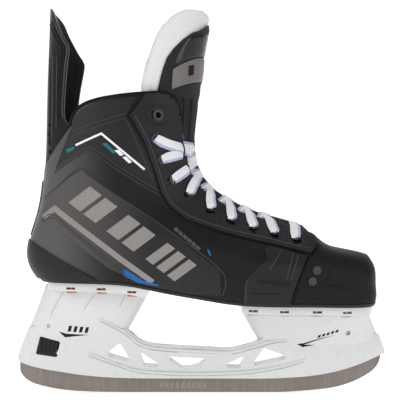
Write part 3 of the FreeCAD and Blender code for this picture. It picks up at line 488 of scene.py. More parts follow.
def lace_material(tracer):
    """Flat woven lace: a herringbone, and a coloured tracer chequered along one edge."""
    n = Nodes("lace_weave")
    uv = n.add("ShaderNodeUVMap", uv_map="strand")
    parts = n.add("ShaderNodeSeparateXYZ")
    n.link(uv.outputs[0], parts.inputs[0])
    across = n.add("ShaderNodeMath", operation="MULTIPLY")
    across.inputs[1].default_value = 9.0
    n.link(parts.outputs[1], across.inputs[0])
    joined = n.add("ShaderNodeCombineXYZ")
    n.link(parts.outputs[0], joined.inputs[0])
    n.link(across.outputs[0], joined.inputs[1])
    check = n.add("ShaderNodeTexChecker", Scale=1.15)
    n.link(joined.outputs[0], check.inputs["Vector"])
    wave = n.add("ShaderNodeTexWave", bands_direction="DIAGONAL", Scale=1.0, Distortion=0.4)
    n.link(joined.outputs[0], wave.inputs["Vector"])
    white = n.ramp(wave.outputs[1], (0.66, 0.67, 0.7), (0.88, 0.88, 0.89), 0.1, 0.8)
    edge = n.add("ShaderNodeMath", operation="GREATER_THAN")
    edge.inputs[1].default_value = 0.74
    n.link(parts.outputs[1], edge.inputs[0])
    share = n.add("ShaderNodeMath", operation="MULTIPLY")
    n.link(edge.outputs[0], share.inputs[0])
    n.link(check.outputs[1], share.inputs[1])
    mix = n.add("ShaderNodeMix", data_type="RGBA")
    n.link(share.outputs[0], mix.inputs[0])
    n.link(white, mix.inputs[6])
    mix.inputs[7].default_value = (*tracer, 1)
    n.link(mix.outputs[2], n.shader.inputs["Base Color"])
    n.link(n.bump(wave.outputs[1], 0.5, 0.00015), n.shader.inputs["Normal"])
    n.shader.inputs["Roughness"].default_value = 0.82
    n.shader.inputs["Sheen Weight"].default_value = 0.3


def steel_material():
    """Ground steel: fine upright grinding lines and faint wear along the edge."""
    n = Nodes("runner_steel")
    lines = n.add("ShaderNodeTexNoise", Scale=1.0, Detail=6.0)
    n.link(n.mapped((1500, 300, 40)), lines.inputs["Vector"])
    patch = n.add("ShaderNodeTexNoise", Scale=1.0, Detail=2.0)
    n.link(n.mapped((28, 28, 10)), patch.inputs["Vector"])
    both = n.add("ShaderNodeMix", data_type="FLOAT")
    both.inputs[0].default_value = 0.35
    n.link(lines.outputs[0], both.inputs[2])
    n.link(patch.outputs[0], both.inputs[3])
    tone = n.ramp(both.outputs[0], (0.17, 0.145, 0.128), (0.27, 0.24, 0.218), 0.3, 0.7)
    n.link(tone, n.shader.inputs["Base Color"])
    n.link(n.bump(lines.outputs[0], 0.25, 0.00008), n.shader.inputs["Normal"])
    n.shader.inputs["Metallic"].default_value = 0.55
    n.shader.inputs["Roughness"].default_value = 0.42


def make_materials(look):
    """Every finish of the skate."""
    # The quarters, side panels and ankle panels below are lightened towards the heel: a painted highlight,
    # the gloss that the lamps light there.
    highlight_gain = (12.0, 11.4, 11.0)
    grained(
        "quarter_shell", (0.0045, 0.0045, 0.005), (0.009, 0.0088, 0.0092), 0.36, 900, 0.25, 0.0001,
        kind="weave", gloss=0.17, painted_highlight=(highlight_gain, -0.118, -0.06),
    )
    grained(
        "panel_sheen", (0.012, 0.0115, 0.012), (0.02, 0.019, 0.0195), 0.34, 1400, 0.2, 0.0001, kind="weave",
        painted_highlight=((5.0, 4.8, 4.7), -0.12, -0.03),
    )
    grained(
        "ankle_weave", (0.009, 0.0088, 0.009), (0.02, 0.0195, 0.02), 0.42, 700, 0.35, 0.00015, kind="weave",
        gloss=0.17, painted_highlight=((1.8, 1.76, 1.72), -0.12, -0.06),
    )
    grained("leather", (0.008, 0.008, 0.0085), (0.019, 0.019, 0.0195), 0.5, 1100, 0.4, 0.00015, kind="cells")
    grained("moulded", (0.009, 0.009, 0.0095), (0.016, 0.016, 0.0165), 0.42, 2500, 0.12, 0.0001)
    grained("toe_plastic", (0.008, 0.008, 0.0085), (0.015, 0.015, 0.0155), 0.5, 2200, 0.12, 0.0001, gloss=0.1)
    grained(
        "guard_plastic", (0.01, 0.01, 0.0105), (0.018, 0.018, 0.0185), 0.4, 1800, 0.12, 0.0001, gloss=0.09,
    )
    grained("line_grey", (0.03, 0.03, 0.03), (0.06, 0.06, 0.06), 0.4, 1500, 0.1)
    grained("print_taupe", (0.2, 0.185, 0.175), (0.3, 0.28, 0.265), 0.38, 1600, 0.08)
    grained("label_taupe", (0.125, 0.116, 0.11), (0.186, 0.174, 0.165), 0.38, 1600, 0.08)
    grained("print_white", (0.72, 0.73, 0.75), (0.86, 0.86, 0.88), 0.4, 1600, 0.08)
    grained("print_blue", (0.004, 0.08, 0.27), (0.012, 0.15, 0.42), 0.38, 1600, 0.08)
    grained("print_teal", (0.005, 0.11, 0.14), (0.015, 0.19, 0.23), 0.4, 1600, 0.08)
    grained("print_grey", (0.05, 0.048, 0.05), (0.1, 0.097, 0.1), 0.4, 1600, 0.08)
    grained("boss_grey", (0.035, 0.035, 0.036), (0.06, 0.06, 0.06), 0.36, 1600, 0.08)
    grained("print_black", (0.003, 0.003, 0.0035), (0.008, 0.008, 0.0085), 0.45, 1600, 0.08)
    grained("thread", (0.02, 0.02, 0.021), (0.06, 0.059, 0.06), 0.7, 3000, 0.4)
    grained(
        "wool_felt", (0.62, 0.614, 0.605), (0.78, 0.772, 0.762), 0.95, 1500, 0.5, 0.0003,
        **{"Sheen Weight": 0.15},
    )
    grained(
        "knit", (0.004, 0.004, 0.0045), (0.014, 0.0135, 0.0145), 0.85, 1300, 0.6, 0.0003, kind="weave",
        gloss=0.12,
    )
    grained("nylon", (0.006, 0.006, 0.0065), (0.018, 0.018, 0.0185), 0.6, 1500, 0.5, 0.0002, kind="weave")
    grained(
        "gloss_patch", (0.007, 0.0073, 0.0078), (0.015, 0.0155, 0.016), 0.24, 600, 0.1, gloss=0.2,
        **{"Coat Weight": 0.3},
    )
    grained("insole_knit", (0.06, 0.062, 0.07), (0.12, 0.122, 0.13), 0.85, 1200, 0.5, 0.0003, kind="weave")
    grained("holder_shade", (0.4, 0.405, 0.41), (0.47, 0.475, 0.48), 0.45, 900, 0.05, gloss=0.2)
    grained(
        "holder_plastic", (0.62, 0.627, 0.627), (0.665, 0.67, 0.67), 0.3, 500, 0.04, 0.0001, gloss=0.5,
        **{"Coat Weight": 0.2},
    )
    grained("copper_metal", (0.4, 0.14, 0.06), (0.62, 0.27, 0.13), 0.35, 900, 0.2, metallic=0.9, gloss=0.5)
    grained("plated_steel", (0.36, 0.36, 0.36), (0.5, 0.5, 0.5), 0.32, 900, 0.2, metallic=0.9, gloss=0.5)
    grained("lacquer", (0.01, 0.01, 0.011), (0.03, 0.03, 0.032), 0.28, 900, 0.15, metallic=0.3, gloss=0.5)
    grained("board_fibre", (0.1, 0.085, 0.06), (0.2, 0.17, 0.13), 0.85, 1400, 0.5)
    floor = grained("floor_paper", (0.93, 0.93, 0.93), (0.96, 0.96, 0.96), 0.9, 400, 0.02, gloss=0.1)
    floor.shader.inputs["Emission Color"].default_value = (1, 1, 1, 1)
    floor.shader.inputs["Emission Strength"].default_value = look.floor_glow
    lace_material(look.tracer_colour)
    steel_material()


CAD_FINISH = {
    "quarter_outer": "quarter_shell", "quarter_inner": "quarter_shell", "side_wing_outer": "moulded",
    "side_wing_inner": "moulded", "eyelets_outer": "lacquer", "eyelets_inner": "lacquer",
    "heel_counter": "moulded", "toe_cap": "toe_plastic", "toe_cap_rivets": "boss_grey",
    "toe_cap_lining": "knit", "tendon_guard": "guard_plastic", "outsole": "moulded",
    "lasting_board": "board_fibre", "holder": "holder_plastic", "heel_rivets": "copper_metal",
    "toe_rivets": "plated_steel", "runner": "runner_steel", "trigger": "moulded",
    "trigger_pin": "plated_steel", "hook_pin": "plated_steel", "trigger_spring": "plated_steel",
    "liner_outer": "knit", "liner_inner": "knit", "ankle_pad_outer": "knit", "ankle_pad_inner": "knit",
    "facing_outer": "leather", "facing_inner": "leather", "heel_seam_strip": "leather", "lace": "wool_felt",
    "tongue_cover_lower": "nylon", "tongue_felt_lower": "wool_felt", "tongue_cover_upper": "nylon",
    "tongue_felt_upper": "wool_felt", "tongue_label": "label_taupe", "tendon_guard_pad": "knit",
    "insole": "insole_knit",
}  # fmt: skip


# --- The boot -------------------------------------------------------------------------------------


def eyelet_places():
    """For each side, the eyelets' side-view places from the top down."""
    places = {}
    for name in SIDES:
        found = sorted(islands("eyelets_" + name), key=lambda c: c.x - c.z)
        places[name] = [(c.x / MM, c.z / MM) for c in found]
    return places


def make_seams(look):
    """Piping, panels and stitched seams on the quarters."""
    for name, side in SIDES.items():
        shell = Surface("quarter_" + name)
        panel = [
            (-111.0, 181.5), (-96.0, 191.0), (-86.5, 196.0), (-80.0, 195.0), (-62.0, 182.5), (-33.5, 164.5),
            (-36.0, 178.0), (-46.5, 203.0), (-56.0, 219.5), (-48.0, 234.6), (-60.0, 233.6), (-79.0, 230.2),
            (-90.4, 225.4), (-96.6, 218.0), (-98.0, 211.5),
        ]  # fmt: skip
        draped("ankle_panel_" + name, panel, shell, side, 0.05, 0.5, "ankle_weave", rim=0.3)
        lower = [
            (-122.0, 157.0), (-114.0, 162.5), (-90.5, 179.0), (-75.5, 167.6), (-30.0, 136.6), (15.0, 103.0),
            (16.0, 84.0), (-10.0, 84.5), (-40.0, 90.2), (-70.0, 104.0), (-100.0, 127.0), (-112.0, 137.5), (
                -124.0, 143.0,
            ),
        ]  # fmt: skip
        draped("side_panel_" + name, lower, shell, side, 0.05, 0.35, "panel_sheen", rim=0.2)
        lines = [
            (
                [
                    (-112.5, 177.5), (-96.0, 187.6), (-86.0, 192.6), (-79.5, 191.2), (-62.0, 178.6),
                    (-31.5, 159.6),
                ],
                0.45,
            ),
            (
                [
                    (-111.5, 181.0), (-96.0, 190.6), (-86.0, 195.6), (-79.5, 194.4), (-62.0, 181.6),
                    (-32.8, 163.4),
                ],
                0.5,
            ),
            (
                [
                    (-122.0, 157.6), (-114.0, 163.0), (-90.5, 179.5), (-75.5, 168.0), (-30.0, 137.0),
                    (16.0, 103.0), (17.0, 84.0),
                ],
                0.5,
            ),
            (
                [
                    (-122.5, 141.0), (-113.5, 145.0), (-100.0, 135.0), (-80.0, 118.5), (-59.5, 101.5),
                    (-50.0, 93.5),
                ],
                0.4,
            ),
            ([(-123.0, 139.0), (-113.5, 142.6), (-100.0, 132.8), (-80.0, 116.3), (-60.5, 99.6)], 0.3),
            ([(-97.0, 208.6), (-84.0, 213.2), (-70.0, 217.6), (-56.6, 221.6)], 0.35),
            (
                [
                    (-98.6, 204.4), (-84.0, 209.8), (-70.0, 214.2), (-57.0, 217.6), (-54.6, 214.6),
                    (-36.0, 171.0),
                ],
                0.35,
            ),
        ]  # fmt: skip
        for k, (path, radius) in enumerate(lines):
            points, _ = run_on(shell, path, side, 0.35)
            tube(f"piping_{name}_{k}", points, radius, "line_grey", sides=6)
        rows = [
            [(-110.0, 180.2), (-96.0, 189.1), (-86.0, 194.1), (-79.5, 192.8), (-62.0, 180.1), (-33.0, 161.5)],
            [(-97.4, 213.0), (-95.6, 218.4), (-89.6, 224.0), (-79.0, 228.6), (-60.0, 232.0), (-47.0, 233.2)],
            [(-96.8, 211.0), (-94.2, 216.6), (-88.4, 221.8), (-78.6, 226.2), (-60.0, 229.6), (-48.6, 230.8)],
            [(-96.0, 101.0), (-110.0, 108.6), (-122.0, 116.0), (-133.0, 120.8)],
        ]  # fmt: skip
        for k, path in enumerate(rows):
            points, normals = run_on(shell, path, side, 0.6 if k < 3 else 1.9)
            stitches(f"seam_stitches_{name}_{k}", points, normals, "thread", length=look.stitch_length)


def bars(centre, along, size, count, gap):
    """Outlines of plain leaning bars side by side, filling a leaning box of that size."""
    ax = Vector(along).normalized()
    up = Vector((-ax.y, ax.x))
    wide = (size[0] - gap * (count - 1)) / count
    shapes = []
    for k in range(count):
        left = -size[0] / 2 + k * (wide + gap)
        corners = [(left, -0.5), (left + wide, -0.5), (left + wide, 0.5), (left, 0.5)]
        shapes.append(
            [tuple(Vector(centre) + ax * (u + v * size[1] * 0.3) + up * (v * size[1])) for u, v in corners],
        )
    return shapes


def make_graphics():
    """Printed shapes on both quarters: stripes, strokes and plain slanted blocks."""
    for name, side in SIDES.items():
        shell = Surface("quarter_" + name)
        down = (0.80, -0.60)
        jobs = [
            (
                "stripe_taupe",
                band_outline(
                    [(-121.5, 142.6), (-111.6, 149.6), (-98.0, 139.6), (-60.0, 110.6), (-36.0, 93.4)], 4.3,
                ),
                "print_taupe", 0.46,
            ),
            (
                "stripe_white_long", band_outline([(-94.6, 197.8), (-74.6, 206.4), (-42.4, 179.4)], 1.6),
                "print_white", 0.62,
            ),
            (
                "dash_teal_rear", [(-102.4, 194.6), (-101.0, 192.0), (-95.8, 194.8), (-95.6, 197.0)],
                "print_teal", 0.62,
            ),
            (
                "dash_teal_front", [(-74.0, 198.6), (-71.0, 199.4), (-63.6, 192.6), (-65.4, 191.0)],
                "print_teal", 0.62,
            ),
            (
                "dash_white_a", [(-64.6, 193.6), (-61.6, 194.2), (-57.6, 190.4), (-60.4, 189.4)],
                "print_white", 0.62,
            ),
            (
                "dash_white_b", [(-58.8, 188.6), (-56.2, 189.2), (-51.6, 184.8), (-54.2, 184.0)],
                "print_white", 0.62,
            ),
            (
                "stroke_blue",
                [
                    (-59.4, 101.6), (-56.8, 103.0), (-44.0, 94.8), (-31.4, 91.4), (-31.4, 90.2),
                    (-47.0, 92.4), (-57.6, 97.6),
                ],
                "print_blue", 0.46,
            ),
            ("tick_blue", [(5.4, 118.6), (6.8, 118.6), (8.6, 114.2), (7.2, 114.0)], "print_blue", 0.2),
        ]
        for k in range(6):
            at = Vector((-19.4, 134.4)) + Vector((0.77, -0.63)) * (k * 4.3)
            jobs.append(
                (f"dash_grey_{k}", band_outline([at, at + Vector((2.7, -2.2))], 2.6), "print_grey", 0.2),
            )
        blocks = [((-81.6, 152.6), 26.0, 2), ((-52.6, 130.8), 26.0, 2), ((-22.0, 109.0), 28.0, 3)]
        for k, (centre, width, count) in enumerate(blocks):
            for i, shape in enumerate(bars(centre, down, (width, 20.0), count, 3.0)):
                jobs.append((f"block_{k}_{i}", shape, "print_taupe", 0.46))
        for title, shape, material, lift in jobs:
            draped(f"{title}_{name}", shape, shell, side, lift, 0.08, material, cell=3.0)


def make_facing(look):
    """The leather facings that hold the eyelets, their piping and stitches."""
    holes = eyelet_places()
    outline = COLLAR_EDGE[6:-1] + FACING_FRONT[:-1] + FACING_FOOT
    for name, side in SIDES.items():
        shell = Surface("quarter_" + name)
        piece = draped(
            "facing_leather_" + name, outline, shell, side, 0.2, look.facing_thick, "leather", rim=0.7,
            cell=2.2, holes=holes[name],
        )  # fmt: skip
        cut_holes(piece, holes[name], 3.35)
        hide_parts("facing_" + name)
        top = look.facing_thick + 0.2
        insets = [(0, 2.6)] * 5 + [(1, 2.6), (2.4, 1.4), (2.8, 0.6), (2.8, 0.4), (2.8, 0.6), (3, 0)]
        inner = [(x + dx, z + dz) for (x, z), (dx, dz) in zip(FACING_FOOT[:-1], insets)]
        points, _ = run_on(shell, inner, side, top + 0.1, holes=holes[name])
        tube("facing_piping_" + name, points, 0.55, "line_grey", sides=6)
        lower = [(x, z + 1.2) for x, z in inner]
        points, normals = run_on(shell, lower, side, top + 0.12, holes=holes[name])
        stitches("facing_stitches_" + name, points, normals, "thread", length=look.stitch_length)
        insets = [(2.2, 0)] * 3 + [(1.6, 1.6)] * 2 + [(0.6, 2.2)] * 5
        front = [(x - dx, z - dz) for (x, z), (dx, dz) in zip(FACING_FRONT[:-3], insets)]
        points, normals = run_on(shell, front, side, top + 0.12, holes=holes[name])
        stitches("facing_front_stitches_" + name, points, normals, "thread", length=look.stitch_length)
        x, z = holes[name][0]
        ring = [
            (x + 8.6 * math.cos(a), z + 7.4 * math.sin(a))
            for a in [math.pi * i / 14 for i in range(3, 27)]
        ]
        points, _ = run_on(shell, ring, side, top + 0.05, step=1.0, holes=holes[name])
        tube("eyelet_recess_" + name, points, 0.8, "leather", sides=6)


def cut_holes(piece, holes, radius):
    """Opens a round hole through the draped piece at each eyelet."""
    bm = bmesh.new()
    bm.from_mesh(piece.data)
    gone = []
    for face in bm.faces:
        c = face.calc_center_median() / MM
        if any((c.x - x) ** 2 + (c.z - z) ** 2 < radius**2 for x, z in holes):
            gone.append(face)
    bmesh.ops.delete(bm, geom=gone, context="FACES")
    bm.to_mesh(piece.data)
    bm.free()


# --- Tongue ---------------------------------------------------------------------------------------

TONGUE_ROWS = [  # along the instep's middle: X, Z, direction of its outward normal, ray depth, half-turn
    (89.0, 131.0, 58, 24, 58), (83.0, 135.4, 66, 25, 60), (76.0, 137.6, 72, 26, 62),
    (62.0, 141.6, 72, 27, 64), (48.0, 145.6, 68, 28, 66), (35.0, 151.4, 63, 30, 68),
    (22.0, 158.4, 57, 32, 72), (12.0, 166.0, 48, 34, 76), (3.5, 175.4, 34, 36, 82), (-1.0, 186.0, 18, 38, 90),
    (-2.8, 197.0, 5, 40, 96), (-3.2, 208.0, 0, 40, 98), (-2.8, 219.0, -2, 40, 99), (-1.9, 230.0, -4, 40, 99),
    (-1.2, 236.0, -5, 40, 99), (-0.6, 241.5, -5, 40, 99), (0.2, 247.0, -5, 40, 99), (1.0, 254.0, -6, 40, 98),
    (1.6, 262.0, -8, 40, 96), (3.0, 270.0, -9, 40, 94), (4.4, 278.0, -10, 40, 91), (5.8, 285.0, -11, 40, 86),
    (6.4, 288.0, -11, 40, 83), (7.0, 291.0, -12, 40, 80), (7.6, 293.8, -12, 40, 76), (
        8.2, 296.5, -12, 40, 72,
    ),
    (8.7, 298.8, -12, 40, 68), (9.2, 301.0, -12, 40, 63), (9.6, 302.6, -12, 40, 58), (
        9.9, 304.0, -12, 40, 52,
    ),
    (10.3, 305.6, -12, 40, 40),
]  # fmt: skip


def look_in(surface, centre, out, degrees):
    """The way outward at an angle round the tongue, and where the surface is met looking back along it."""
    phi = math.radians(degrees)
    way = out * math.cos(phi) + Vector((0, -math.sin(phi), 0))
    return way, surface.hit(centre + way * RAY_START, -way, RAY_START)


def tongue_grid(surface, columns, sink=0.0, last=None, spread=None):
    """Rows of surface points and outward directions over the tongue, from toe to top."""
    places = []
    for x, z, lean, deep, turn in TONGUE_ROWS[:last]:
        lean = math.radians(lean)
        out = Vector((math.cos(lean), 0, math.sin(lean)))
        centre = Vector((x * MM, 0, z * MM)) - out * (deep * MM)
        reach = turn if spread is None else min(turn, spread(z))
        met = [0]
        for turned in range(2, int(reach) + 1, 2):
            if all(look_in(surface, centre, out, side * turned)[1] for side in (-1, 1)):
                met.append(turned)
        if 0 < met[-1] < reach - 2:
            reach = met[-1]
        places.append((centre, out, deep, reach))
    reaches = [p[3] for p in places]
    for _ in range(2):
        around = [reaches[0]] + reaches + [reaches[-1]]
        reaches = [(a + 2 * b + c) / 4 for a, b, c in zip(around, around[1:], around[2:])]
    rows = []
    for (centre, out, deep, _), reach in zip(places, reaches):
        row, far = [], deep * MM
        for j in range(columns + 1):
            way, found = look_in(surface, centre, out, reach * (2 * j / columns - 1))
            far = (found[0] - centre).length if found else far
            row.append([centre + way * (far - sink * MM), way])
        half = columns // 2
        for j in range(half - 1, -1, -1):
            if look_in(surface, centre, out, reach * (2 * j / columns - 1))[1] is None:
                way = row[j][1]
                row[j][0] = centre + way * (row[j + 1][0] - centre).length
        rows.append(row)
    return rows


def soft(i, count, power=6.0):
    """1 over most of a run, falling to 0 at both ends like a rolled edge."""
    t = abs(2 * i / count - 1)
    return max(0.0, 1 - t**power) ** 0.5


def layer(rows, full, edge_power, end_rows):
    """The rows with half thicknesses: rounded along both sides and at the top, and nothing at the toe."""
    count, columns = len(rows) - 1, len(rows[0]) - 1
    thick = []
    for i, row in enumerate(rows):
        near_top = min(1.0, (count - i) / end_rows)
        at_row = math.sqrt(max(0.0, 1 - (1 - near_top) ** 2)) * (0 if i in (0, count) else 1)
        thick.append(
            [(p, way, full * soft(j, columns, edge_power) * at_row * MM) for j, (p, way) in enumerate(row)],
        )
    return thick


def cover_turn(z):
    """Half the angle that the tongue cover spans at a height."""
    edge = [
        (130, 60), (240, 76), (256, 73), (266, 68), (275, 61), (283, 51), (289, 38), (293, 22), (296, 6),
        (320, 0.5),
    ]  # fmt: skip
    for (z0, a0), (z1, a1) in zip(edge, edge[1:]):
        if z0 <= z <= z1:
            return a0 + (a1 - a0) * (z - z0) / (z1 - z0)
    return 60


def along_tongue(rows, share, lift):
    """A line up the rows, share of the way from the middle to a side edge, and its outward directions."""
    half = (len(rows[0]) - 1) // 2
    j = half + half * share
    a = int(j)
    points, normals = [], []
    for row in rows:
        points.append(row[a][0].lerp(row[min(a + 1, 2 * half)][0], j - a) + row[a][1] * (lift * MM))
        normals.append(row[a][1])
    return points, normals


def make_tongue(look):
    """The felt, the cover with its stitches and ribs, and the label."""
    rows = tongue_grid(Surface("tongue_felt_lower", "tongue_felt_upper"), 40, sink=3.75)
    piece = cushion("tongue_felt", layer(rows, 3.9, 8, 2.5), "wool_felt", body=None)
    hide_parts("tongue_felt_lower", "tongue_felt_upper")
    bend_tongue(piece)
    cover_skin = Surface("tongue_cover_lower", "tongue_cover_upper")
    last = next(k for k, r in enumerate(TONGUE_ROWS) if r[1] > 298)
    rows = tongue_grid(cover_skin, 32, sink=0.7, last=last, spread=cover_turn)
    piece = cushion("tongue_cover", layer(rows, look.cover_thick / 2, 14, 1.5), "nylon", body=None)
    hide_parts("tongue_cover_lower", "tongue_cover_upper")
    bend_tongue(piece)
    for k, share in enumerate((0.95, 0.9)):
        for side in (-1, 1):
            points, normals = along_tongue(rows[11:-1], side * share, 1.0)
            name = f"tongue_stitches_{k}_{'ab'[side > 0]}"
            fine, ups = smooth_path(points, 60), even_steps(normals, 60)
            piece = stitches(name, fine, ups, "line_grey", body=None, length=1.9, radius=0.3, gap=1.0)
            bend_tongue(piece)
    for k, share in enumerate((-0.62, -0.4, -0.2, 0.2, 0.4, 0.62)):
        points, _ = along_tongue(rows[8:15], share, 0.9)
        tube(f"tongue_rib_{k}", smooth_path(points, 30), 0.7, "nylon", sides=6)
    make_label(Surface("tongue_label"), cover_skin)


def bend_tongue(piece):
    """Bakes the piece's transform into its mesh."""
    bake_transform(piece)


def make_label(label_skin, cover_skin):
    """The band across the tongue, its plain strokes, and the glossy panel over it."""

    def patch(name, low, high, turn, lift, half, material, slot=None):
        """A padded patch over the tongue, between two heights."""
        rows = []
        for i in range(13):
            row = []
            for j in range(29):
                phi = math.radians(turn(i / 12) * (2 * j / 28 - 1))
                way = Vector((math.cos(phi), -math.sin(phi), 0))
                z_low, z_high = low(phi), high(phi)
                z = z_low + (z_high - z_low) * i / 12
                centre = Vector((LABEL_X, 0, z * MM))
                found = cover_skin.hit(centre + way * RAY_START, -way, RAY_START)
                point = found[0] if found else (row[-1][0].copy() if row else centre + way * 0.04)
                edge = 0 if i in (0, 12) or j in (0, 28) else 1
                row.append((point + way * (lift * MM), way, half * MM * edge))
            rows.append(row)
        piece = cushion(name, rows, material, body="tongue_upper", sharp=50)
        return piece

    def foot(phi):
        """The height of the label's lower edge at an angle."""
        return 251.0 - 18.0 * (1 - math.cos(phi))

    def head(phi):
        """The height of the label's upper edge at an angle."""
        return 270.4 - 26.0 * (1 - math.cos(phi))

    label = patch("tongue_label_band", foot, head, lambda t: 62 - 1.5 * t, 0.8, 0.5, "label_taupe", "label")
    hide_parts("tongue_label")
    for k in range(2):
        for side in (-1, 1):
            middle = math.radians(34 * k)
            rows = []
            for i in range(4):
                row = []
                for j in range(6):
                    phi = side * (middle + math.radians((j / 5 - 0.5) * 9))
                    way = Vector((math.cos(phi), -math.sin(phi), 0))
                    z = foot(phi) + 6.0 + 8.0 * i / 3
                    centre = Vector((LABEL_X, 0, z * MM))
                    found = label_skin.hit(centre + way * RAY_START, -way, RAY_START)
                    point = found[0] if found else centre + way * 0.0405
                    edge = 0 if i in (0, 3) or j in (0, 5) else 1
                    row.append((point + way * (0.5 * MM), way, 0.16 * MM * edge))
                rows.append(row)
            if side > 0 or k:
                cushion(f"label_block_{k}_{'ab'[side > 0]}", rows, "print_black", body="tongue_upper")
    patch(
        "tongue_gloss_panel", lambda p: head(p) + 1.4, lambda p: 289.6 - 30.0 * (1 - math.cos(p)),
        lambda t: 57 - 17 * t**2, 0.3, 0.45, "gloss_patch",
    )


# --- Collar, lining and pads ----------------------------------------------------------------------


def make_collar(look):
    """The rolled edge of the boot's opening, and everything inside the boot."""
    for name, side in SIDES.items():
        shell = Surface("quarter_" + name)
        flat = smooth_path([(x, z, 0) for x, z in COLLAR_EDGE], 70)
        points = []
        for p in flat:
            inward = Vector((-62.0 - p.x, 180.0 - p.y, 0)).normalized() * 1.6
            point, _ = shell.side(p.x + inward.x, p.y + inward.y, side, -1.9)
            points.append(Vector((p.x * MM, point.y, p.y * MM)))
        tube("collar_binding_" + name, points, look.binding_radius, "knit", sides=10)
        make_lining(name, side)
        make_ankle_pad(name, side)
    make_insole()


def make_lining(name, side):
    """The knit lining inside the rear of the boot, quilted in a diamond pattern."""
    liner = Surface("liner_" + name)
    rows = []
    for i in range(30):
        row = []
        for j in range(31):
            turn = math.radians(180 - side * 1.0 - side * (j / 30) * 120)
            z_top = 205.0 + 27.0 * eased((j / 30 - 0.06) / 0.22)
            z = 106.0 + (z_top - 106.0) * i / 29
            way = Vector((math.cos(turn), side * abs(math.sin(turn)), 0))
            centre = Vector((LINING_X, 0.0, z * MM))
            found = liner.hit(centre, way, 0.12)
            point = found[0] + way * (1.2 * MM) if found else (
                row[-1][0].copy()
                if row else centre + way * 0.05
            )
            edge = 0 if i in (0, 29) or j in (0, 30) else 1
            quilt = 0.75 + 0.45 * abs(
                math.sin(math.pi * (i / 2.5 + j / 3)) * math.sin(math.pi * (i / 2.5 - j / 3)),
            )
            row.append((point, way, 1.25 * MM * edge * quilt))
        rows.append(row)
    piece = cushion("lining_" + name, rows, "knit")
    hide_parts("liner_" + name)


def eased(t):
    """t held between 0 and 1, and eased at both ends."""
    t = min(1.0, max(0.0, t))
    return t * t * (3 - 2 * t)


def make_ankle_pad(name, side):
    """A soft pad over the ankle bone."""
    pad = Surface("ankle_pad_" + name)
    rows = []
    for i in range(12):
        row = []
        for j in range(29):
            a = 2 * math.pi * j / 28
            r = i / 11
            x, z = -79.5 + 21.0 * r * math.cos(a), 187.0 + 33.0 * r * math.sin(a)
            found = pad.hit(Vector((x * MM, 0, z * MM)), Vector((0, side, 0)), 0.1)
            depth = found[0].y if found else rows[-1][j][0].y - side * 3.0 * MM
            point = Vector((x * MM, depth, z * MM))
            puff = math.sqrt(max(0.0, 1 - r**4)) * (1 - 0.12 * abs(math.sin(9 * r)))
            row.append(
                (point + Vector((0, side * 3.0 * MM, 0)), Vector((0, -side, 0)), 3.4 * MM * puff * (r < 1)),
            )
        rows.append(row)
    piece = cushion("ankle_cushion_" + name, rows, "knit")
    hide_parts("ankle_pad_" + name)


def make_insole():
    """The footbed, soft-edged."""
    bed = Surface("insole")
    rows = []
    for i in range(60):
        x = -124.0 + 250.0 * i / 59
        tops = bed.hit(Vector((x * MM, 0, 0.3)), Vector((0, 0, -1)), 0.4)
        z = tops[0].z if tops else 0.1
        edge = bed.hit(Vector((x * MM, -0.1, z - 0.002)), Vector((0, 1, 0)), 0.1)
        half = -edge[0].y - 0.0004 if edge else 0.01
        row = []
        for j in range(17):
            f = 2 * j / 16 - 1
            thick = 2.15 * MM * math.sqrt(max(0.0, 1 - abs(f) ** 10)) * (0 if i in (0, 59) else 1)
            row.append((Vector((x * MM, f * half, z - 2.3 * MM)), Vector((0, 0, 1)), thick))
        rows.append(row)
    piece = cushion("footbed", rows, "insole_knit")
    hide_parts("insole")


# --- Tendon guard, heel strip, toe and wing -------------------------------------------------------


def pad_reach(pad_skin, centre):
    """The largest half-turn about the centre at which rays backwards still meet the pad."""
    reach = 12.0
    while reach < 110:
        turn = math.radians(reach + 2)
        if not pad_skin.hit(centre, Vector((-math.cos(turn), math.sin(turn), 0)), 0.09):
            break
        reach += 2
    return math.radians(reach)


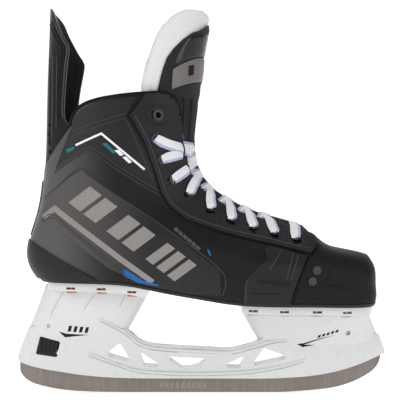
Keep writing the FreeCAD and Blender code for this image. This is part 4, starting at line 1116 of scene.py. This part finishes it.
def make_guard():
    """The tendon guard's lining, its moulded ribs, lines and grooves."""
    guard = Surface("tendon_guard")
    pad_skin = Surface("tendon_guard_pad")
    rows = []
    for i in range(26):
        z = 184.0 + 114.0 * i / 25
        share = eased((z - 184.0) / 30.0)
        centre = Vector((GUARD_X, 0, z * MM))
        reach = pad_reach(pad_skin, centre) * (0.5 + 0.5 * share)
        row = []
        for j in range(33):
            phi = reach * (2 * j / 32 - 1)
            way = Vector((-math.cos(phi), math.sin(phi), 0))
            found = pad_skin.hit(centre, way, 0.09)
            point = found[0] + way * (1.9 * MM) if found else (
                row[-1][0].copy()
                if row else centre + way * 0.03
            )
            edge = 0 if i in (0, 25) or j in (0, 32) else 1
            row.append((point, way, 1.7 * MM * edge * soft(j, 32, 4)))
        rows.append(row)
    piece = cushion("guard_lining", rows, "knit", body="tendon_guard")
    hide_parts("tendon_guard_pad")
    for name, side in SIDES.items():
        for k, inset in enumerate((1.4, 3.6, 6.2)):
            path = [(x - inset, z - inset * (0.4 if z > 274 else 0)) for x, z in GUARD_FRONT[1:-1]]
            points, _ = run_on(guard, path, side, 0.15, step=2.0)
            size, paint = (0.9, 0.55, 0.55)[k], "guard_plastic" if k else "line_grey"
            tube(f"guard_rib_{name}_{k}", points, size, paint, body="tendon_guard", sides=6)
        for k, x in enumerate((-119.5, -115.4, -111.4)):
            path = [(x - 0.6, 200.0 + 6 * k), (x, 225.0), (x + 0.6, 250.0), (x + 1.0, 268.0)]
            points, _ = run_on(guard, path, side, 0.1, step=3.0)
            tube(f"guard_line_{name}_{k}", points, 0.6, "line_grey", body="tendon_guard", sides=6)
        groove = [
            (-116.6, 252.0), (-114.4, 256.0), (-114.0, 268.0), (-115.6, 276.0), (-117.6, 272.0),
            (-117.6, 258.0),
        ]
        draped(
            "guard_groove_" + name, groove, guard, side, 0.12, 0.1, "print_black", body="tendon_guard",
            cell=3,
        )
        scallops = [(-119.0 + 0.6 * math.sin(k), 184.0 + 5.2 * k) for k in range(7)]
        points, normals = run_on(guard, scallops, side, 0.2, step=5.0)
        stitches(
            "guard_scallops_" + name, points, normals, "print_black", body="tendon_guard", length=4.2,
            radius=1.1, gap=1.0,
        )


def make_heel(look):
    """The stitched strip up the back."""
    strip_skin = Surface("heel_seam_strip")
    path = [
        (-137.5, 127.5), (-134.0, 136.0), (-130.6, 147.0), (-128.6, 157.0), (-127.0, 166.0),
        (-126.2, 172.0),
    ]
    flat = smooth_path([(x, 0, z) for x, z in path], 26)
    rows = []
    for i, p in enumerate(flat):
        row = []
        for j in range(13):
            y = 6.0 * (j / 6 - 1)
            start = Vector((-0.2, y * MM, p.z * MM))
            found = strip_skin.hit(start, Vector((1, 0, 0)), 0.2)
            point = found[0] if found else Vector((p.x * MM, y * MM, p.z * MM))
            edge = 0 if i in (0, 25) or j in (0, 12) else 1
            row.append((point + Vector((0.0002, 0, 0)), Vector((-1, 0, 0)), 0.62 * MM * edge))
        rows.append(row)
    piece = cushion("back_strip", rows, "leather")
    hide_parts("heel_seam_strip")
    for k, j in enumerate((2, 10)):
        points = [row[j][0] + Vector((-0.0007, 0, 0)) for row in rows[1:-1]]
        stitches(
            f"back_strip_stitches_{k}", points, [Vector((-1, 0, 0))] * len(points), "thread",
            length=look.stitch_length,
        )


def make_toe_shell():
    """The toe cap's skin, its upper front corner pushed out square."""
    bm = bmesh.new()
    bm.from_mesh(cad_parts["toe_cap"].data)
    bmesh.ops.remove_doubles(bm, verts=bm.verts[:], dist=1e-6)
    for _ in range(2):
        long = [e for e in bm.edges if e.calc_length() > 3.5 * MM and max(v.co.x for v in e.verts) > 100 * MM]
        bmesh.ops.subdivide_edges(bm, edges=long, cuts=1)
        bmesh.ops.triangulate(bm, faces=[f for f in bm.faces if len(f.verts) > 4])
    for vert in bm.verts:
        x, z = vert.co.x / MM, vert.co.z / MM
        push = eased((x - 108.0) / 22.0) * eased((z - 86.0) / 22.0)
        vert.co.x += TOE_PUSH[0] * MM * push
        vert.co.z += TOE_PUSH[1] * MM * push
    piece = finish_mesh(bm, "toe_shell", "toe_plastic", "boot")
    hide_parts("toe_cap")


def make_toe():
    """Moulded ridges on the toe cap and grooves in the side wings."""
    make_toe_shell()

    def swelling(t):
        """Thick in the middle and thin at both ends."""
        return 0.35 + 0.65 * math.sin(math.pi * min(1, max(0, t))) ** 0.5

    for name, side in SIDES.items():
        cap = Surface("toe_cap")
        ridges = [
            ([(97.8, 106.0), (96.6, 101.0), (94.6, 95.6)], 0.8),
            ([(92.4, 91.4), (98.0, 91.2), (106.0, 90.0), (115.0, 88.6)], 0.8),
            ([(86.6, 114.4), (92.0, 112.0), (100.0, 108.6), (109.0, 105.2)], 0.6),
            ([(80.6, 110.8), (78.0, 104.0), (75.0, 95.6), (71.8, 85.0), (70.2, 79.0)], 0.8),
        ]
        for k, (path, radius) in enumerate(ridges):
            points, _ = run_on(cap, path, side, 0.1, step=1.5)
            tube(f"cap_ridge_{name}_{k}", points, radius, "toe_plastic", sides=8, taper=swelling)
        wing = Surface("side_wing_" + name)
        grooves = [
            ([(61.0, 118.4), (56.6, 111.6), (51.5, 104.4)], 0.45, "line_grey"),
            ([(69.6, 116.0), (66.6, 106.0), (64.0, 96.6)], 0.45, "line_grey"),
            ([(73.4, 115.0), (70.4, 105.6), (67.6, 96.0)], 0.45, "line_grey"),
            ([(38.5, 86.4), (48.0, 86.2), (59.5, 86.2)], 0.4, "print_black"),
            ([(35.0, 96.6), (34.4, 88.0), (34.2, 80.0)], 0.5, "line_grey"),
        ]
        for k, (path, radius, material) in enumerate(grooves):
            points, _ = run_on(wing, path, side, 0.05, step=1.5)
            tube(f"wing_groove_{name}_{k}", points, radius, material, sides=6)
        slot = [(42.6, 97.0), (43.0, 94.2), (66.4, 91.6), (67.2, 95.2)]
        draped(f"wing_slot_{name}", slot, wing, side, 0.1, 0.1, "print_black", cell=4)


# --- Lace -----------------------------------------------------------------------------------------


def make_lace(look):
    """One flat lace: a bar between the lowest eyelets, then crossing strands up to the second pair."""
    holes = eyelet_places()
    cover = Surface("tongue_cover_lower")
    shells = {name: Surface("quarter_" + name) for name in SIDES}
    top = look.facing_thick + 0.2
    first = None
    for k in range(1, 10):
        for name, side in SIDES.items():
            if k == 9 and side > 0:
                continue
            other = "inner" if name == "outer" else "outer"
            there = holes[other][9 if k == 9 else k - 1]
            if k == 1:
                there = (holes[other][3][0] + 2, holes[other][3][1] + 8)
            points, normals = strand_path(
                shells, cover, holes, name, holes[name][k], other, there, k < 9, side, top,
            )
            piece = strip(
                f"lace_{k}_{name}", points, normals, look.lace_width, look.lace_thick, "lace_weave",
                across=6, dome=0.35, taper=lambda t: 0.62 + 0.38 * min(1.0, t / 0.1),
            )  # fmt: skip
            first = first or piece
    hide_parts("lace")


def strand_path(shells, cover, holes, name, here, other, there, tucked, side, top):
    """From an eyelet over the facing, across the tongue, to the other side's eyelet or under its facing."""
    shell = shells[name]
    hx, hz = here
    base, out = over_holes(shell, hx, hz, side, holes[name])
    centre_x, centre_z = (here[0] + there[0]) / 2, (here[1] + there[1]) / 2
    lift = 0.0 if side < 0 else 1.35
    keys = [(base - out * (1.5 * MM), out), (base + out * ((top + 1.15) * MM), out)]
    lean = instep_lean(centre_x, centre_z)
    origin = Vector((centre_x * MM, 0, centre_z * MM))
    middle = cover.hit(origin + lean * 0.08, -lean, 0.12)
    middle = middle[0] if middle else origin
    start = keys[-1][0]
    finish_base, finish_out = over_holes(shells[other], there[0], there[1], -side, holes[other])
    depth = -4.3 if tucked else top + 1.15
    finish = finish_base + finish_out * (depth * MM)
    surface = SurfaceGroup(shells, cover)
    span = (finish - start).length
    run = (finish - start) / span
    steps = 16
    for i in range(1, steps):
        t = i / steps
        flat = start.lerp(finish, t)
        if (flat - base).length < 0.0058 or (not tucked and (flat - finish_base).length < 0.0058):
            continue
        toward = lean_at(t, out, lean, finish_out)
        found = surface.hit(flat + toward * 0.05, -toward, 0.12, under=other if tucked and t > 0.66 else None)
        if found is None:
            continue
        point, source, up = found
        up = (up + toward * 0.35).normalized()
        extra = 0.6 + lift * (1 - abs(2 * t - 1)) if source == "cover" else top + 0.95
        place = point + up * (extra * MM)
        across = place - start
        onward = (place - keys[-1][0]).dot(run)
        if onward > 0.8 * MM and (across - run * across.dot(run)).length < 0.45 * span:
            keys.append((place, up))
    if not tucked:
        keys.append((finish_base + finish_out * ((top + 1.15) * MM), finish_out))
        keys.append((finish_base - finish_out * (1.5 * MM), finish_out))
    count = 56
    pts = [k[0] for k in keys]
    ups = [k[1] for k in keys]
    for _ in range(2):
        pts = evened(pts, 2)
        ups = evened(ups, 1)
    points = smooth_path(pts, count)
    normals = along_path(pts, ups, points)
    return points, [n.normalized() for n in normals]


def evened(values, first):
    """The values averaged with their neighbours, but for the last and those before the given place."""
    middle = [
        (a + b * 2 + c) / 4
        for a, b, c in zip(values[first - 1 :], values[first:], values[first + 1 :])
    ]
    return values[:first] + middle + [values[-1]]


def along_path(knots, values, points):
    """The knots' values carried to the points by distance along the path."""
    run = [0.0]
    for a, b in zip(knots, knots[1:]):
        run.append(run[-1] + (b - a).length)
    out, k = [], 0
    for i in range(len(points)):
        goal = run[-1] * i / (len(points) - 1)
        while k < len(run) - 2 and run[k + 1] < goal:
            k += 1
        out.append(values[k].lerp(values[k + 1], (goal - run[k]) / max(1e-9, run[k + 1] - run[k])))
    return out


def instep_lean(x, z):
    """The direction out of the instep at a side-view place."""
    best = min(TONGUE_ROWS, key=lambda r: (r[0] - x) ** 2 + (r[1] - z) ** 2)
    lean = math.radians(best[2])
    return Vector((math.cos(lean), 0, math.sin(lean)))


def lean_at(t, out_a, lean, out_b):
    """The outward direction at a share of the way across."""
    if t < 0.5:
        return out_a.lerp(lean, t * 2).normalized()
    return lean.lerp(out_b, t * 2 - 1).normalized()


class SurfaceGroup:
    """The two quarters and the tongue cover, saying which one a ray hits first."""

    def __init__(self, shells, cover):
        self.parts = {"cover": cover, **shells}

    def hit(self, origin, direction, reach, under=None):
        """The first point hit, the part's name and the normal."""
        best = None
        for name, surface in self.parts.items():
            if name == under:
                continue
            found = surface.hit(origin, direction, reach)
            if found and (best is None or found[2] < best[0]):
                best = (found[2], found[0], name, found[1])
        return best[1:] if best else None


# --- Holder and runner marks ----------------------------------------------------------------------


def make_holder():
    """Printed wedges, moulded ridges and painted shade lines on the holder, and engraved strokes on the
    runner.
    """
    for name, side in SIDES.items():
        holder = Surface("holder")
        marks = [
            (
                "mark_front_wedge",
                [
                    (78.0, 40.2), (82.6, 37.6), (92.6, 39.6), (83.6, 39.6), (95.0, 44.2), (107.6, 48.2),
                    (94.6, 44.8), (83.4, 41.0),
                ],
                "print_black",
            ),
            (
                "mark_rear_wedge", [(-113.4, 50.6), (-108.6, 45.6), (-90.0, 47.6), (-107.4, 48.6)],
                "print_black",
            ),
        ]
        for k in range(4):
            x, z = -106.4 + 4.5 * k, 50.4 - 0.4 * k
            marks.append(
                (
                    f"mark_rear_bar_{k}",
                    [(x, z), (x + 2.6, z + 0.2), (x + 4.0, z + 5.0), (x + 1.4, z + 4.8)], "print_black",
                ),
            )
        for k in range(5):
            x = 94.0 + 3.4 * k
            z = 45.6 + 1.15 * k
            marks.append(
                (
                    f"mark_front_dash_{k}",
                    [(x, z), (x + 2.2, z + 0.7), (x + 2.6, z + 3.1), (x + 0.5, z + 2.4)], "print_black",
                ),
            )
        for title, shape, material in marks:
            draped(f"{title}_{name}", shape, holder, side, 0.03, 0.06, material, cell=3)
        # Grey strips under the flange lips and beside the ridges: painted shade, darker than the holder.
        painted_shade_lines = [
            ([(-108.0, 83.9), (-84.0, 83.3), (-60.0, 82.6), (-38.0, 79.0)], 0.9),
            ([(33.0, 65.6), (60.0, 65.5), (87.0, 65.4), (113.0, 65.2)], 0.9),
            ([(-108.5, 83.0), (-113.0, 76.0), (-116.6, 69.6), (-119.5, 63.5)], 0.8),
            ([(-84.0, 81.0), (-87.0, 76.6), (-90.0, 72.8), (-92.5, 69.0)], 0.7),
            ([(-59.0, 81.0), (-61.0, 77.4), (-62.8, 74.0), (-64.0, 71.0)], 0.7),
            ([(-80.0, 59.4), (-69.4, 53.2), (-58.2, 46.2), (-49.6, 38.9), (-38.0, 35.2), (-18.0, 33.4)], 0.9),
            ([(26.0, 31.9), (44.0, 36.4), (58.0, 40.6), (70.0, 42.4)], 0.9),
            ([(-90.0, 30.6), (-76.0, 25.4), (-62.0, 20.6), (-48.0, 16.6), (-20.0, 14.8), (10.0, 14.6)], 0.8),
            ([(10.0, 14.6), (40.0, 16.2), (66.0, 20.4), (84.0, 25.6)], 0.8),
        ]
        for k, (path, width) in enumerate(painted_shade_lines):
            draped(
                f"holder_painted_shade_{name}_{k}", band_outline(path, width), holder, side, 0.02, 0.05,
                "holder_shade", cell=3,
            )
        ridges = [
            [
                (-82.0, 62.4), (-70.0, 55.4), (-58.6, 48.4), (-49.6, 41.0), (-38.0, 37.2), (-18.0, 35.4),
                (7.0, 34.2), (26.0, 33.8), (44.0, 38.4), (58.0, 42.6), (70.0, 44.4),
            ],
            [
                (-92.0, 33.4), (-84.0, 30.6), (-76.0, 27.4), (-62.0, 22.4), (-48.0, 18.4), (-20.0, 16.6),
                (10.0, 16.4), (40.0, 18.0), (66.0, 22.4), (86.0, 28.4),
            ],
        ]
        for k, path in enumerate(ridges):
            points, _ = run_on(holder, path, side, 0.0, step=2.5)
            tube(
                f"holder_ridge_{name}_{k}", points, 1.5, "holder_plastic", sides=10,
                taper=lambda t: 0.15 + 0.85 * math.sin(math.pi * min(1, max(0, t))) ** 0.4,
            )
        runner = Surface("runner")
        for k in range(9):
            x = -33.0 + 4.4 * k
            shape = [(x, 3.2), (x + 2.6, 3.2), (x + 3.2, 8.4), (x + 0.6, 8.4)]
            draped(
                f"runner_mark_{name}_{k}", shape, runner, side, 0.01, 0.02, "print_taupe", body="runner",
                cell=4,
            )


# --- Stage ----------------------------------------------------------------------------------------


def make_stage(look):
    """A pale floor that curves up into a backdrop, the camera, four lamps and the sky."""
    scene = bpy.context.scene
    bm = bmesh.new()
    bmesh.ops.create_grid(bm, x_segments=60, y_segments=60, size=3.0)
    for vert in bm.verts:
        far = max(0.0, vert.co.y - 1.2, -vert.co.y - 2.2, abs(vert.co.x) - 2.2)
        vert.co.z = min(1.8, far * far * 0.8) - 0.0002
    floor = finish_mesh(bm, "floor", "floor_paper", None)
    camera = bpy.data.objects.new("camera", bpy.data.cameras.new("camera"))
    scene.collection.objects.link(camera)
    scene.camera = camera
    camera.location = (0.0, -look.camera_distance, 0.1561)
    camera.rotation_euler = (math.radians(90), 0, 0)
    camera.data.sensor_width = 36
    camera.data.lens = 36 * look.camera_distance / VIEW_WIDTH
    camera.data.clip_start = 0.01
    lights = [
        ("key", (-1.1, -1.2, 1.1), 0.9, 28.0), ("fill", (1.2, -1.1, 0.7), 0.9, 13.0),
        ("rim", (-0.4, 1.2, 1.2), 1.0, 18.0), ("top", (0.0, -0.1, 1.7), 1.1, 8.0),
    ]  # fmt: skip
    for name, place, size, power in lights:
        lamp = bpy.data.lights.new(name, "AREA")
        lamp.size = size
        lamp.energy = power * look.light
        bulb = bpy.data.objects.new(name, lamp)
        scene.collection.objects.link(bulb)
        bulb.location = place
        bulb.rotation_euler = (Vector((0, 0, 0.14)) - Vector(place)).to_track_quat("-Z", "Y").to_euler()
    world = bpy.data.worlds.new("studio")
    scene.world = world
    world.use_nodes = True
    world.node_tree.nodes["Background"].inputs[0].default_value = (1, 1, 1, 1)
    world.node_tree.nodes["Background"].inputs[1].default_value = look.sky
    scene.view_settings.view_transform = "Standard"


# --- The add-on -----------------------------------------------------------------------------------


class SkateLook(bpy.types.PropertyGroup):
    """The sizes and colours that a user would change."""

    lace_width: FloatProperty(
        name="Lace width", description="Width of the flat lace in millimetres", default=8.0,
        subtype="DISTANCE",
    )
    lace_thick: FloatProperty(
        name="Lace thickness", description="Thickness of the lace in millimetres", default=1.2,
        subtype="DISTANCE",
    )
    facing_thick: FloatProperty(
        name="Facing thickness", description="Thickness of the facings in millimetres", default=1.8,
        subtype="DISTANCE",
    )
    cover_thick: FloatProperty(
        name="Cover thickness", description="Thickness of the tongue cover in millimetres", default=1.6,
        subtype="DISTANCE",
    )
    binding_radius: FloatProperty(
        name="Binding radius", description="Radius of the collar's rolled edge in millimetres", default=2.0,
        subtype="DISTANCE",
    )
    stitch_length: FloatProperty(
        name="Stitch length", description="Length of one stitch in millimetres", default=1.9,
        subtype="DISTANCE",
    )
    tracer_colour: FloatVectorProperty(
        name="Tracer colour", description="Colour of the lace's chequered edge", default=(0.02, 0.12, 0.45),
        subtype="COLOR",
    )
    camera_distance: FloatProperty(
        name="Camera distance", description="Distance of the camera in metres", default=0.58,
        subtype="DISTANCE",
    )
    light: FloatProperty(name="Light", description="Strength of all lamps", default=0.44, subtype="FACTOR")
    sky: FloatProperty(
        name="Sky", description="Strength of the surrounding light", default=0.3, subtype="FACTOR",
    )
    floor_glow: FloatProperty(
        name="Floor glow", description="Light given off by the studio floor", default=0.5, subtype="FACTOR",
    )


class SKATE_OT_materials(bpy.types.Operator):
    """Makes the materials and finishes the CAD parts"""

    bl_idname = "skate.materials"
    bl_label = "Materials"

    def execute(self, context):
        make_materials(context.scene.skate_look)
        for node, material in CAD_FINISH.items():
            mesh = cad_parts[node].data
            mesh.materials.clear()
            mesh.materials.append(bpy.data.materials[material])
        return {"FINISHED"}


class SKATE_OT_seams(bpy.types.Operator):
    """Adds panels, piping and stitched seams to the quarters"""

    bl_idname = "skate.seams"
    bl_label = "Seams and panels"

    def execute(self, context):
        make_seams(context.scene.skate_look)
        return {"FINISHED"}


class SKATE_OT_graphics(bpy.types.Operator):
    """Adds the printed shapes to the quarters"""

    bl_idname = "skate.graphics"
    bl_label = "Graphics"

    def execute(self, context):
        make_graphics()
        return {"FINISHED"}


class SKATE_OT_facing(bpy.types.Operator):
    """Adds the leather facings"""

    bl_idname = "skate.facing"
    bl_label = "Facings"

    def execute(self, context):
        make_facing(context.scene.skate_look)
        return {"FINISHED"}


class SKATE_OT_tongue(bpy.types.Operator):
    """Adds the felt tongue, its cover and its label"""

    bl_idname = "skate.tongue"
    bl_label = "Tongue"

    def execute(self, context):
        make_tongue(context.scene.skate_look)
        return {"FINISHED"}


class SKATE_OT_collar(bpy.types.Operator):
    """Adds the collar binding, lining, ankle pads and footbed"""

    bl_idname = "skate.collar"
    bl_label = "Collar and lining"

    def execute(self, context):
        make_collar(context.scene.skate_look)
        return {"FINISHED"}


class SKATE_OT_guard(bpy.types.Operator):
    """Adds the tendon guard's ribs and lining and the strip up the heel"""

    bl_idname = "skate.guard"
    bl_label = "Tendon guard and heel"

    def execute(self, context):
        make_guard()
        make_heel(context.scene.skate_look)
        return {"FINISHED"}


class SKATE_OT_toe(bpy.types.Operator):
    """Adds the moulded lines of the toe cap and the side wings"""

    bl_idname = "skate.toe"
    bl_label = "Toe cap and wings"

    def execute(self, context):
        make_toe()
        return {"FINISHED"}


class SKATE_OT_lace(bpy.types.Operator):
    """Laces the boot"""

    bl_idname = "skate.lace"
    bl_label = "Lace"

    def execute(self, context):
        make_lace(context.scene.skate_look)
        return {"FINISHED"}


class SKATE_OT_holder(bpy.types.Operator):
    """Adds the marks and ridges of the holder and the runner"""

    bl_idname = "skate.holder"
    bl_label = "Holder and runner"

    def execute(self, context):
        make_holder()
        return {"FINISHED"}


class SKATE_OT_stage(bpy.types.Operator):
    """Adds the floor, lamps, sky and camera"""

    bl_idname = "skate.stage"
    bl_label = "Stage"

    def execute(self, context):
        make_stage(context.scene.skate_look)
        return {"FINISHED"}


STEPS = (
    SKATE_OT_materials, SKATE_OT_seams, SKATE_OT_graphics, SKATE_OT_facing, SKATE_OT_tongue, SKATE_OT_collar,
    SKATE_OT_guard, SKATE_OT_toe, SKATE_OT_lace, SKATE_OT_holder, SKATE_OT_stage,
)  # fmt: skip


class SKATE_PT_panel(bpy.types.Panel):
    """The skate's sizes and its building steps"""

    bl_label = "Hockey skate"
    bl_idname = "SKATE_PT_panel"
    bl_space_type = "VIEW_3D"
    bl_region_type = "UI"
    bl_category = "Skate"

    def draw(self, context):
        look = context.scene.skate_look
        for name in SkateLook.__annotations__:
            self.layout.prop(look, name)
        for step in STEPS:
            self.layout.operator(step.bl_idname)


CLASSES = (SkateLook, *STEPS, SKATE_PT_panel)


def register():
    """Adds the classes and their settings."""
    for cls in CLASSES:
        bpy.utils.register_class(cls)
    bpy.types.Scene.skate_look = PointerProperty(type=SkateLook)


def unregister():
    """Takes the classes and their settings away."""
    del bpy.types.Scene.skate_look
    for cls in reversed(CLASSES):
        bpy.utils.unregister_class(cls)


def corners(bounds):
    """A box's two corners as plain lists."""
    return [list(corner) for corner in bounds]


def main():
    """Builds the skate step by step."""
    register()
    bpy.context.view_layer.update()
    for step in STEPS:
        group, name = step.bl_idname.split(".")
        getattr(getattr(bpy.ops, group), name)()


if __name__ == "__main__":
    main()
